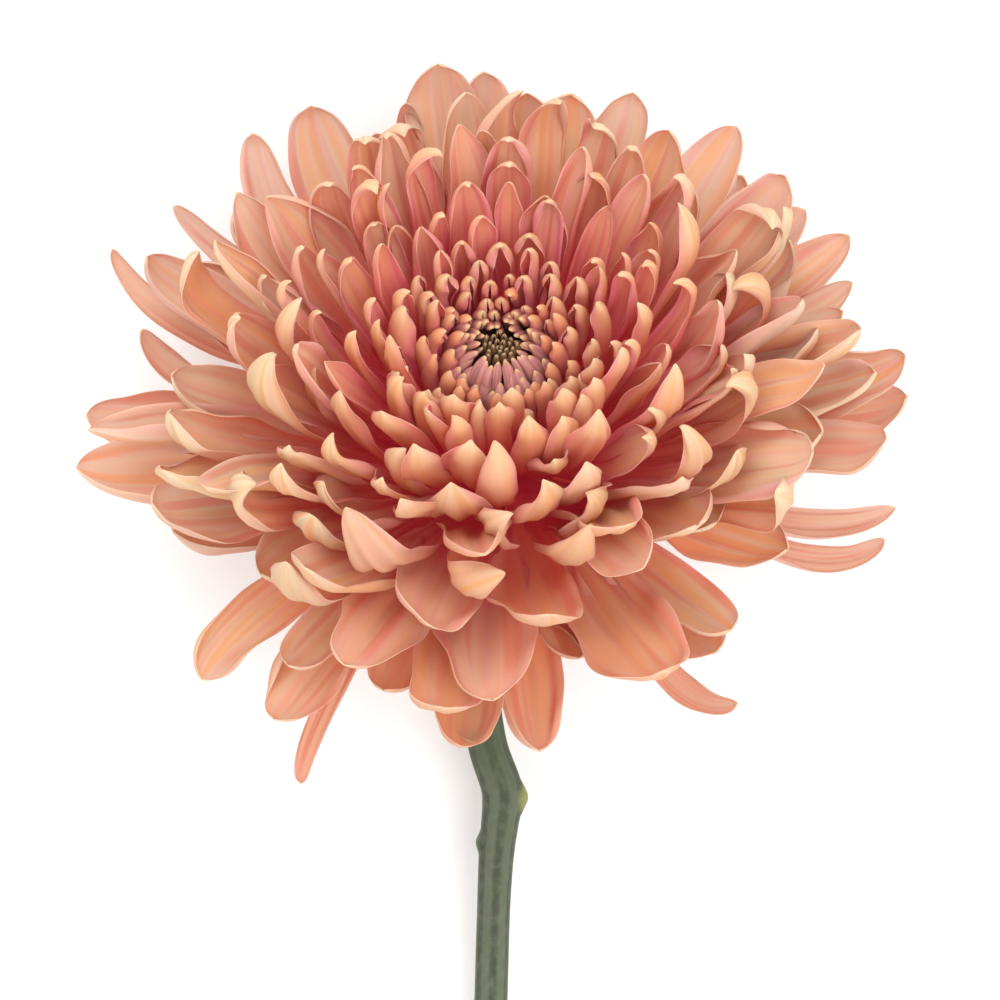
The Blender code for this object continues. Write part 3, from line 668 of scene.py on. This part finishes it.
def add_finish(f):
    """What only the finished florets have: tubes, hooks, rolled rims, their tips and tints."""
    rng = np.random.default_rng(SEED + 1)
    order = f.order
    count = len(order)
    uneven = unevenness(order)
    outermost = ramp(order, 215, 265)
    near = f.near = 0.5 - 0.5 * np.sin(f.azimuth)

    # the florets round the middle close to tubes of the same thickness, with a slit
    closed = hump(order, 22, 42, 95, 145)
    tube_cup = np.minimum(f.cup_mid + 60 * closed, 168)
    f.width = f.width * tube_cup / np.minimum(f.cup_mid, tube_cup)
    f.cup_mid = tube_cup
    f.cup_tip = np.minimum(f.cup_tip + 62 * closed, 174)

    # those round the middle open lower on the near side, and show the ring inside them
    lowered = hump(order, 22, 44, 90, 135) * ramp(near, 0.35, 0.85)
    f.height -= 4.0 * lowered
    f.radius += 1.6 * lowered
    for floret, azimuth, lower in TUCKED:
        apart = np.abs((np.degrees(f.azimuth) - azimuth + 180) % 360 - 180)
        f.height[(np.abs(order - floret) < 0.5) & (apart < 1)] -= lower

    # the ring leans in over the buds
    ring = hump(order, 9, 12, 22, 42)
    f.radius -= 0.7 * ring
    f.tip_rise += 18 * ring
    f.width *= 1 - (1 - RING_SLIMNESS) * ring

    # the hooked ones draw in to a narrow hood
    hood = ramp(f.curl, 70, 95) * uneven
    f.width *= 1 - 0.22 * hood
    f.cup_tip += 22 * hood
    f.twist += hood * rng.choice([-1, 1], count) * rng.uniform(15, 50, count)

    # tips: fuller outside and in the near shields, more pointed between the two
    shield = hump(order, 100, 115, 150, 180) * ramp(near, 0.5, 0.8)
    pointed = ramp(order, 60, 120) * (1 - outermost)
    f.claw = np.clip(0.9 - order * 0.0045, 0.16, 0.9)
    f.tip_fullness = 2.1 + 0.6 * outermost + rng.normal(0, 0.15, count) + 0.9 * shield
    f.tip_point = np.clip(0.57 + 0.22 * pointed + 0.10 * hood - 0.06 * outermost
                          + rng.normal(0, 0.05, count), 0.45, 0.95)
    f.taper_start += 0.04 * shield + 0.03 * ramp(order, 130, 220) + 0.05 * outermost

    # hooks, rolled rims and relief
    hook = uneven * (1 - 0.5 * outermost) * np.clip(rng.normal(28, 26, count), 0, 90)
    f.hook = np.radians(12 + hook)
    f.hook_start = np.full(count, HOOK_START)
    f.roll = np.radians(uneven * rng.normal(28, 28, count)) + 0.02
    f.lean = np.radians(uneven * (1 - 0.4 * outermost) * rng.normal(0, 85, count)) + 0.01
    f.roll_start = rng.uniform(0.70, 0.84, count)
    f.groove = GROOVE_SHARE * rng.uniform(0.4, 1.9, count)
    f.phase = rng.uniform(0, 2 * math.pi, count)

    # tints, with the slim ones at the outline the palest
    f.tint = rng.random(count)
    slim_outside = (f.width < 8) & (order > 280)
    f.warmth = np.where(slim_outside, 0.0, rng.random(count))


def add_midline(f, root, start, tip, end):
    """The four points of each midline's curve, from its ends and the directions there."""
    first, second = HANDLE_SHARES
    handle_1 = root + start * (first * f.length)[:, None]
    handle_2 = tip - end * (second * f.length)[:, None]
    for name, place in zip(FLORET_VECTORS, (root, handle_1, handle_2, tip)):
        f[name] = flower_to_world(place) + HEAD_PLACE


def add_centrelines(f):
    """Give each floret its root, tip and two handles, and the side directions at both ends."""
    for name in "base_rise tip_rise cup_base cup_mid cup_tip curl bend twist".split():
        f[name] = np.radians(f[name])
    share = np.sqrt((f.order + 0.5) / FLORETS)
    azimuth, end_azimuth = f.azimuth, f.azimuth + f.bend
    start = polar(np.cos(f.base_rise), azimuth, np.sin(f.base_rise))
    end = polar(np.cos(f.tip_rise), end_azimuth, np.sin(f.tip_rise))
    root = polar(HEAD_RADIUS * share, azimuth, HEAD_DOME * (1 - share ** 2) - 1.0)
    tip = polar(f.radius, azimuth, f.height)
    f.length = np.linalg.norm(tip - root, axis=-1)
    f.curl = np.maximum(f.curl, LEAST_TURN)
    curled_length = (1 - f.curl_start) * f.length
    tip = tip + end * (curled_length * (1 - np.sin(f.curl) / f.curl))[:, None]
    add_midline(f, root, start, tip, end)
    end_side = polar(1, end_azimuth + math.pi / 2, 0)
    end_side = (end_side * np.cos(f.twist)[:, None]
                + np.cross(end, end_side) * np.sin(f.twist)[:, None])
    f.side = flower_to_world(polar(1, azimuth + math.pi / 2, 0))
    f.end_side = flower_to_world(end_side)


# Materials

def colour(red, green, blue):
    """A linear colour from the 0 to 255 values that a screen shows."""
    shares = [value / 255 for value in (red, green, blue)]
    linear = [v / 12.92 if v <= 0.04045 else ((v + 0.055) / 1.055) ** 2.4 for v in shares]
    return (*linear, 1.0)


def new_material(name, roughness):
    material = bpy.data.materials.new(name)
    material.use_nodes = True
    tree = material.node_tree
    shader = tree.nodes["Principled BSDF"]
    shader.inputs["Roughness"].default_value = roughness
    return material, tree, shader


def let_light_through(tree, shader, tone, share):
    """Pass a share of the light through a thin floret, in the tone that it takes on inside."""
    through = result(tree, "ShaderNodeBsdfTranslucent", {"Color": tone})
    both = result(tree, "ShaderNodeMixShader",
                  {0: share, 1: Field(tree, shader.outputs[0]), 2: through})
    fill(tree.nodes["Material Output"].inputs["Surface"], both)


def add_bump(shader, height, strength, distance):
    """Small relief, in metres, from a height between nothing and one."""
    bump = result(height.tree, "ShaderNodeBump",
                  {"Strength": strength, "Distance": distance, "Height": height})
    fill(shader.inputs["Normal"], bump)


def add_flesh(shader, weight, reach):
    """Light that spreads about a millimetre inside, further in some colours."""
    set_inputs(shader, {"Subsurface Weight": weight, "Subsurface Radius": reach,
                        "Subsurface Scale": MM})


def surface_values(tree, names):
    """The values that the mesh keeps for its material."""
    return [result(tree, "ShaderNodeAttribute", output="Fac", attribute_name=name)
            for name in names.split()]


def object_place(tree):
    return result(tree, "ShaderNodeTexCoord", output="Object")


def mixed(factor, first, second):
    """The first colour, turning into the second with the factor."""
    node = add_node(factor.tree, "ShaderNodeMix", data_type='RGBA')
    # sockets 6 and 7 are the two colours that go in, and 2 is the one that comes out
    set_inputs(node, {0: factor, 6: first, 7: second})
    return Field(factor.tree, node.outputs[2])


def gradient(factor, stops):
    """A ramp of colours, from rows of place, red, green and blue."""
    node = add_node(factor.tree, "ShaderNodeValToRGB", {"Fac": factor})
    elements = node.color_ramp.elements
    elements[0].position, elements[1].position = stops[0][0], stops[-1][0]
    for place, *_ in stops[1:-1]:
        elements.new(place)
    for element, (_, *rgb) in zip(elements, stops):
        element.color = colour(*rgb)
    return Field(factor.tree, node.outputs["Color"])


def noise(vector, scale, detail, roughness=0.5):
    return result(vector.tree, "ShaderNodeTexNoise", {
        "Vector": vector, "Scale": scale, "Detail": detail, "Roughness": roughness}, "Fac")


def vein_group():
    """Soft broad streaks and veins that run along a floret, and its thin rim, as masks."""
    tree, given, leave = new_tree(
        "floret veins", 'ShaderNodeTree',
        {"Along": "Float", "Across": "Float", "Seed": "Float", "Rim": "Float"},
        {"Streak": "Float", "Vein": "Float", "Rim": "Float"})
    along, across, seed, rim = (given[name] for name in ("Along", "Across", "Seed", "Rim"))
    streak = noise(merge(across * 4.2, along * 1.5, seed * 37.0), 1.0, 0.0)
    fan = across * (1 - 0.25 * along) * 9.0
    drift = sine(along * 5.0 + seed * 40.0) * 0.5
    vein = (sine(fan + seed * 11.0 + drift) * 0.26
            + sine(fan * 2.3 - seed * 23.0 - drift) * 0.24 + 0.5)
    near_side = rising(absolute(across), 1 - rim, 1.0)
    near_tip = rising(along, 1 - rim * 0.3, 1.0)
    set_inputs(leave, {"Streak": streak, "Vein": vein,
                       "Rim": larger(near_side * rising(along, 0.55, 0.95), near_tip)})
    return tree


def use_veins(group, along, across, seed, rim):
    node = add_node(along.tree, "ShaderNodeGroup",
                    {"Along": along, "Across": across, "Seed": seed, "Rim": rim},
                    node_tree=group)
    return [Field(along.tree, socket) for socket in node.outputs]


# Colours along a floret from its root to its tip, in rows of place, red, green and blue. The
# face is the side towards the bloom's middle, and the back is the side away from it.
FACE_INNER = ((0, 234, 64, 114), (0.4, 244, 96, 138), (0.75, 244, 136, 146),
              (1, 244, 190, 162))
FACE_MIDDLE = ((0, 240, 98, 124), (0.4, 244, 152, 144), (0.75, 240, 196, 166),
               (1, 236, 220, 190))
FACE_OUTER = ((0, 232, 140, 104), (0.45, 230, 192, 150), (0.8, 224, 218, 182),
              (1, 218, 220, 202))
BACK_YOUNG = ((0, 176, 88, 98), (0.60, 200, 116, 122), (0.88, 220, 138, 122),
              (0.96, 248, 178, 128), (1, 248, 206, 152))
BACK_INNER = ((0, 226, 90, 122), (0.55, 246, 136, 138), (0.82, 246, 176, 142),
              (0.94, 246, 206, 158), (1, 246, 230, 184))
BACK_OUTER = ((0, 236, 166, 148), (0.6, 236, 202, 160), (0.9, 234, 224, 180),
              (1, 236, 234, 198))
YOUNG_TIP = ((0, 222, 140, 118), (0.95, 238, 168, 125), (1, 248, 215, 161))
# the buds' cream tip is a painted highlight
BUD_AND_HIGHLIGHT = ((0, 71, 52, 41), (0.92, 97, 75, 54), (0.98, 127, 103, 71), (1, 233, 209, 161))
BRACT = ((0, 92, 112, 62), (0.6, 118, 138, 78), (1, 140, 146, 92))

PALE_FACE = colour(228, 214, 200)
SHADED_ORANGE = colour(224, 144, 104)
EDGE_PINK = colour(230, 108, 158)
EDGE_PALE_PINK = colour(230, 182, 184)
GLOW_ORANGE = colour(242, 180, 114)
# the painted shade of the florets' creases
CREASE_SHADE_RED = colour(226, 116, 86)
RIM_CREAM = colour(246, 232, 192)
LIGHT_THROUGH = colour(246, 172, 144)
CENTRE_LIGHT_THROUGH = colour(226, 140, 120)
# a painted glow towards the florets' roots, standing in for light passed on between them
PAINTED_GLOW_RED = colour(246, 68, 100)
PAINTED_GLOW_STRENGTH = 0.085


def ray_floret_material(veins):
    material, tree, shader = new_material("coral_floret", 0.5)
    along, across, inner, order, tint, warmth, near = surface_values(
        tree, "along across inner order tint warmth near")
    streak, vein, rim = use_veins(veins, along, across, tint, 0.05)
    rank = order * (1 / FLORETS) + (tint - 0.5) * 0.10

    # red inside and cream outside, on the face and on the back
    face, middle, outer = (gradient(along, f) for f in (FACE_INNER, FACE_MIDDLE, FACE_OUTER))
    face = mixed(rising(rank, 0.30, 0.62), face, middle)
    face = mixed(rising(rank, 0.54, 0.86), face, outer)
    back, middle, outer = (gradient(along, b) for b in (BACK_YOUNG, BACK_INNER, BACK_OUTER))
    back = mixed(rising(rank, 0.16, 0.34), back, middle)
    back = mixed(rising(rank, 0.38, 0.80), back, outer)
    skin = mixed(inner, back, face)

    # some outer ones paler in their own tone; the far outermost ones paler still, partly their
    # own tone and partly painted light; and the lowest near ones a deeper orange, a painted shade
    outside = rising(rank, 0.5, 0.8)
    far = 1 - rising(near, 0.55, 0.85)
    pale = larger(rising(warmth, 0.35, 0.05) * outside * 0.65,
                  rising(rank, 0.82, 0.94) * far * 0.50)
    skin = mixed(pale, skin, PALE_FACE)
    skin = mixed(rising(near, 0.80, 1.0) * outside * 0.42, skin, SHADED_ORANGE)

    # pink towards the sides, an orange glow along the middle, and a few darker streaks along the
    # length, a painted shade of creases
    side = rising(absolute(across) - rising(rank, 0.4, 0.8) * 0.22, 0.40, 1.0)
    pink = mixed(rising(rank, 0.5, 1.0), EDGE_PINK, EDGE_PALE_PINK)
    skin = mixed(side * (0.35 + 0.35 * tint), skin, pink)
    glow = rising(streak, 0.40, 0.70) * (1 - side) * rising(along, 0.15, 0.6)
    glow = glow * (0.20 + 0.50 * warmth) * rising(rank, 0.12, 0.35)
    skin = mixed(glow, skin, GLOW_ORANGE)
    # painted shade: darker streaks along the length, where creases would hold shade
    crease_shade = (1 - rising(streak, 0.28, 0.50)) * (0.15 + 0.35 * inner)
    crease_shade = crease_shade * rising(along, 0.1, 0.5) * (1 - rising(along, 0.85, 1.0))
    skin = mixed(crease_shade, skin, CREASE_SHADE_RED)
    skin = mixed(rising(vein, 0.5, 1.0) * (0.08 + 0.08 * inner), skin, EDGE_PINK)
    skin = mixed(rim * 0.75, skin, RIM_CREAM)

    # a painted glow: a faint red emission towards the roots stands in for the red light that
    # packed florets pass on between them
    set_inputs(shader, {
        "Base Color": skin, "Roughness": 0.46 + vein * 0.14, "Specular IOR Level": 0.3,
        "Emission Color": PAINTED_GLOW_RED,
        "Emission Strength": (1 - rising(along, 0.35, 0.95)) * PAINTED_GLOW_STRENGTH})
    material.cycles.emission_sampling = 'NONE'
    let_light_through(tree, shader, LIGHT_THROUGH, 0.40)
    return material


def centre_floret_material(veins):
    """Mauve striped young florets with orange tips, painted lighter on the near side and darker
    on the far side as sheen and shade, and olive brown buds with a cream dot that is a painted
    highlight.
    """
    material, tree, shader = new_material("mauve_floret", 0.5)
    along, across, inner, order, tint, near = surface_values(
        tree, "along across inner order tint near")
    _, vein, _ = use_veins(veins, along, across, tint, 0.06)
    # painted light and shade: the body and its stripes are lighter on the near side, a painted
    # sheen, and darker on the far side, a painted shade
    body = mixed(near, colour(186, 114, 108), colour(225, 163, 153))
    body = mixed(rising(order, 38, 62), body, colour(205, 120, 118))
    stripe = mixed(near, colour(140, 77, 82), colour(175, 112, 116))
    body = mixed(rising(vein, 0.35, 0.75) * 0.55, body, stripe)
    young = mixed(rising(along, 0.95, 0.995), body, gradient(along, YOUNG_TIP))
    # the buds, with a painted highlight at the tip
    skin = mixed(rising(order + tint * 5.0, 13, 19), gradient(along, BUD_AND_HIGHLIGHT), young)
    skin = mixed(inner * 0.4, skin, colour(162, 64, 71))
    set_inputs(shader, {"Base Color": skin, "Roughness": 0.42 + vein * 0.16,
                        "Specular IOR Level": 0.35})
    add_bump(shader, vein, 0.3, 0.0001)
    let_light_through(tree, shader, CENTRE_LIGHT_THROUGH, 0.30)
    return material


def bract_material(veins):
    """Green with darker veins and a pale papery rim."""
    material, tree, shader = new_material("green_bract", 0.6)
    along, across, tint = surface_values(tree, "along across tint")
    _, vein, rim = use_veins(veins, along, across, tint, 0.16)
    skin = mixed(rising(vein, 0.4, 0.7) * 0.4, gradient(along, BRACT), colour(88, 104, 60))
    skin = mixed(rim * 0.8, skin, colour(176, 160, 118))
    fill(shader.inputs["Base Color"], skin)
    add_bump(shader, vein, 0.5, 0.0002)
    add_flesh(shader, 0.2, (0.4, 1.0, 0.2))
    return material


def green_cup_material():
    material, tree, shader = new_material("green_cup", 0.6)
    mottle = noise(object_place(tree), 400.0, 4.0)
    skin = mixed(rising(mottle, 0.3, 0.7), colour(96, 116, 64), colour(128, 144, 86))
    fill(shader.inputs["Base Color"], skin)
    add_bump(shader, mottle, 0.4, 0.0003)
    return material


def stem_material():
    """Grey green ribs over darker furrows, with long pale fibres and a yellow green node."""
    material, tree, shader = new_material("stem_green", 0.55)
    around, along, ridge, swelling = surface_values(tree, "around travel ridge swelling")
    fibre = noise(merge(around * 14.0, along * 90.0, 0.0), 1.0, 4.0, 0.6)
    mottle = noise(object_place(tree), 260.0, 3.0)
    skin = mixed(rising(ridge, -0.9, 0.9), colour(56, 63, 42), colour(88, 97, 77))
    skin = mixed(rising(fibre, 0.4, 0.7) * 0.5, skin, colour(104, 111, 91))
    skin = mixed(rising(mottle, 0.45, 0.7) * 0.35, skin, colour(80, 89, 58))
    skin = mixed((1 - rising(along, 0.29, 0.36)) * 0.55, skin, colour(54, 70, 36))
    skin = mixed(rising(swelling, 0.04, 0.6) * 0.85, skin, colour(138, 140, 78))
    set_inputs(shader, {"Base Color": skin, "Roughness": 0.45 + fibre * 0.2,
                        "Specular IOR Level": 0.35})
    add_bump(shader, fibre, 0.5, 0.0002)
    add_flesh(shader, 0.15, (0.5, 1.0, 0.3))
    return material


# Pieces

def own(piece, node, slot):
    """Let a piece ride on the body and stand for its solid. The slot is not used."""
    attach(piece, "root")
    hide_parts(node)


def grow_sheets(name, form, points, faces, thickness, ripple, material):
    """Grow florets or bracts, with so many faces along and across each."""
    along, across = faces
    values = {"Stations Along": along + 1, "Stations Across": across + 1,
              "Thickness": thickness, "Ripple Share": ripple,
              "Floor Softness": FLOOR_SOFTNESS, "Material": material}
    return grown(name, points, form, values, SHADE_VALUES)


def make_florets(form, veins):
    f = all_florets()
    add_finish(f)
    add_centrelines(f)
    looks = {"ray_florets": ("coral_floret", ray_floret_material(veins)),
             "centre_florets": ("mauve_floret", centre_floret_material(veins))}
    for name, (node, first, last, *faces) in FLORET_PIECES.items():
        slot, material = looks[node]
        points = points_with(f, (f.order >= first) & (f.order < last))
        piece = grow_sheets(name, form, points, faces, FLORET_THICKNESS, RIPPLE_SHARE, material)
        own(piece, node, slot)


def lathe(name, profile, sides, material):
    """A closed turned body from its (radius, height) profile downwards, in the flower's frame."""
    places, faces, above = [], [], None
    for radius, height in profile:
        count = 1 if radius == 0 else sides
        ring = [len(places) + k % count for k in range(sides + 1)]
        azimuths = np.arange(count) * 2 * math.pi / sides
        points = flower_to_world(polar(radius, azimuths, height)) + HEAD_PLACE
        places += (points * MM).tolist()
        for a in range(sides if above else 0):
            corners = (above[a], ring[a], ring[a + 1], above[a + 1])
            faces.append(list(dict.fromkeys(corners)))
        above = ring
    if profile[-1][0]:
        faces.append(above[:0:-1])
    mesh = new_mesh(name, places, faces=faces, material=material)
    mesh.shade_smooth()
    return new_object(name, mesh)


def make_receptacle(skin):
    """The small dome that the florets grow from."""
    dome = tuple((RECEPTACLE_RADIUS * q, HEAD_DOME * (1 - q * q) - RECEPTACLE_SINK)
                 for q in np.linspace(0, 1, 10))
    receptacle = lathe("receptacle", dome + RECEPTACLE_BASE, 48, skin)
    own(receptacle, "ray_florets", "coral_floret")


def make_involucre(form, veins, cup_skin):
    """The green cup, and its two rows of bracts, grown like florets."""
    cup = lathe("involucre_cup", CUP_PROFILE, 64, cup_skin)
    own(cup, "involucre", "green_bract")
    rows = [(turn + k * 360 / count, radius, height, width)
            for count, radius, height, width, turn in BRACT_ROWS for k in range(count)]
    azimuth, tip_radius, tip_height, width = np.array(rows).T
    azimuth = np.radians(azimuth)
    count = len(azimuth)
    rng = np.random.default_rng(SEED + 2)
    root = polar(BRACT_ROOT[0], azimuth, BRACT_ROOT[1])
    tip = polar(tip_radius, azimuth, tip_height)
    rise = np.arctan2(tip_height - BRACT_ROOT[1], tip_radius - BRACT_ROOT[0])
    start, end = (polar(np.cos(slope), azimuth, np.sin(slope))
                  for slope in (rise - BRACT_ARCH, rise + BRACT_ARCH))
    f = Values((name, np.full(count, float(value))) for name, value in BRACT_FORM.items())
    f.width = width
    f.length = np.linalg.norm(tip - root, axis=-1)
    f.side = f.end_side = flower_to_world(polar(1, azimuth + math.pi / 2, 0))
    f.phase = rng.uniform(0, 6, count)
    f.tint = rng.random(count)
    f.warmth = rng.random(count)
    add_midline(f, root, start, tip, end)
    points = points_with(f, np.full(count, True))
    bracts = grow_sheets("involucre_bracts", form, points, BRACT_FACES, BRACT_THICKNESS,
                         BRACT_RIPPLE, bract_material(veins))
    own(bracts, "involucre", "green_bract")


def smooth_route(points, count):
    """Evenly spaced points on a smooth curve through the given ones."""
    points = np.array(points)
    ends = np.vstack([2 * points[0] - points[1], points, 2 * points[-1] - points[-2]])
    fine = []
    for before, p, q, after in zip(ends, ends[1:], ends[2:], ends[3:]):
        slope_p, slope_q = (q - before) / 2, (after - p) / 2
        for t in np.linspace(0, 1, 20, endpoint=False):
            fine.append(p * (1 + 2 * t) * (1 - t) ** 2 + slope_p * t * (1 - t) ** 2
                        + q * t * t * (3 - 2 * t) + slope_q * t * t * (t - 1))
    fine = np.array(fine + [points[-1]])
    steps = np.linalg.norm(np.diff(fine[:, :3], axis=0), axis=1)
    travelled = np.concatenate([[0], np.cumsum(steps)])
    places = np.linspace(0, travelled[-1], count)
    return np.stack([np.interp(places, travelled, column) for column in fine.T], -1)


def stem_tree():
    """Sweep a round section along the stem's line, then raise its ribs, node and small bump."""
    tree, given, leave = new_form("stem form", {
        "Sides": "Int", "Ribs": "Float", "Rib Depth": "Float", "Node Place": "Vector",
        "Node Height": "Float", "Node Reach": "Float", "Bump Place": "Vector",
        "Bump Height": "Float", "Bump Reach": "Float", "Material": "Material"})
    curve = result(tree, "GeometryNodeMeshToCurve", {"Mesh": given["Geometry"]})
    factor = result(tree, "GeometryNodeSplineParameter", output="Factor")
    circle = result(tree, "GeometryNodeCurvePrimitiveCircle",
                    {"Resolution": given["Sides"], "Radius": 1.0}, "Curve")
    radius, around, travel = kept_values(tree, ("radius_mm", "around", "travel")).values()
    geometry = result(tree, "GeometryNodeCurveToMesh", {
        "Curve": stored(curve, "travel", factor), "Scale": radius * MM, "Fill Caps": True,
        "Profile Curve": stored(circle, "around", factor)})
    turn = around * (2 * math.pi)
    ridge = cosine(turn * given["Ribs"])
    place = result(tree, "GeometryNodeInputPosition")
    swelling, small = (
        given[name + " Height"] * (1 - rising(size_of(place - given[name + " Place"]), 0.0,
                                              given[name + " Reach"]))
        for name in ("Node", "Bump"))
    geometry = stored(geometry, "ridge", ridge)
    geometry = stored(geometry, "swelling", swelling / given["Node Height"])
    depth = given["Rib Depth"] * radius * ridge * (1 - rising(swelling, 0.1, 0.6))
    fine = FINE_RIB_DEPTH * cosine(turn * given["Ribs"] * 3.0 + travel * 9.0)
    out = result(tree, "GeometryNodeInputNormal")
    geometry = result(tree, "GeometryNodeSetPosition", {
        "Geometry": geometry, "Offset": out * ((depth + swelling + small + fine) * MM)})
    x, y, z = split(place)
    held = merge(x, y, larger(z, LOWEST_STEM * MM))
    geometry = result(tree, "GeometryNodeSetPosition",
                      {"Geometry": geometry, "Position": held})
    finish_tree(leave, geometry, given["Material"])
    return tree


def make_stem():
    route = smooth_route(STEM_ROUTE, STEM_STATIONS)
    middle, diameter = route[:, :3], route[:, 3]
    middle[:, :2] += HEAD_PLACE[:2]
    edges = [(k, k + 1) for k in range(STEM_STATIONS - 1)]
    line = new_mesh("stem_line", (middle * MM).tolist(), edges)
    radius = line.attributes.new("radius_mm", 'FLOAT', 'POINT')
    radius.data.foreach_set("value", (diameter / 2).astype(np.float32))
    values = {"Sides": STEM_SIDES, "Ribs": float(STEM_RIBS), "Rib Depth": RIB_DEPTH,
              "Material": stem_material()}
    for name, ((x, y, z), height, reach) in (("Node", STEM_NODE), ("Bump", STEM_BUMP)):
        values[name + " Place"] = Vector((HEAD_PLACE[0] + x, HEAD_PLACE[1] + y, z)) * MM
        values[name + " Height"] = height
        values[name + " Reach"] = reach * MM
    stem = grown("stem", line, stem_tree(), values, ("around", "travel", "ridge", "swelling"))
    own(stem, "stem", "stem_green")


# Stage

def make_floor():
    material, _, shader = new_material("pale_floor", 0.8)
    shader.inputs["Base Color"].default_value = (FLOOR_GREY, FLOOR_GREY, FLOOR_GREY, 1)
    corners = [(x * FLOOR_HALF_WIDTH, y * FLOOR_HALF_WIDTH, 0)
               for x, y in ((-1, -1), (1, -1), (1, 1), (-1, 1))]
    floor = new_object("floor", new_mesh("floor", corners, (), [(0, 1, 2, 3)], material))


def soft_light(name, place, size, power):
    light = bpy.data.lights.new(name, 'AREA')
    light.shape = 'DISK'
    light.size = size
    light.energy = power
    lamp = new_object(name, light)
    lamp.location = place
    aim = Vector(LIGHTS_AIM) - Vector(place)
    lamp.rotation_euler = aim.to_track_quat('-Z', 'Y').to_euler()


def make_studio():
    """The sky, the lights, the camera and how the light is followed."""
    scene = bpy.context.scene
    scene.world = bpy.data.worlds.new("studio")
    scene.world.use_nodes = True
    set_inputs(scene.world.node_tree.nodes["Background"],
               {"Color": (1, 1, 1, 1), "Strength": SKY_STRENGTH})
    for name, settings in SOFTBOXES.items():
        soft_light(name, *settings)
    camera = new_object("camera", bpy.data.cameras.new("camera"))
    camera.data.lens = LENS
    camera.data.sensor_width = SENSOR_WIDTH
    camera.location = Vector((*VIEW_CENTRE, VIEW_HEIGHT)) * MM
    scene.camera = camera
    scene.view_settings.view_transform = 'Standard'
    scene.cycles.max_bounces = MAX_BOUNCES
    scene.cycles.diffuse_bounces = DIFFUSE_BOUNCES


veins = vein_group()
floret_form = floret_tree()
cup_skin = green_cup_material()
make_florets(floret_form, veins)
make_receptacle(cup_skin)
make_involucre(floret_form, veins, cup_skin)
make_stem()
make_floor()
make_studio()
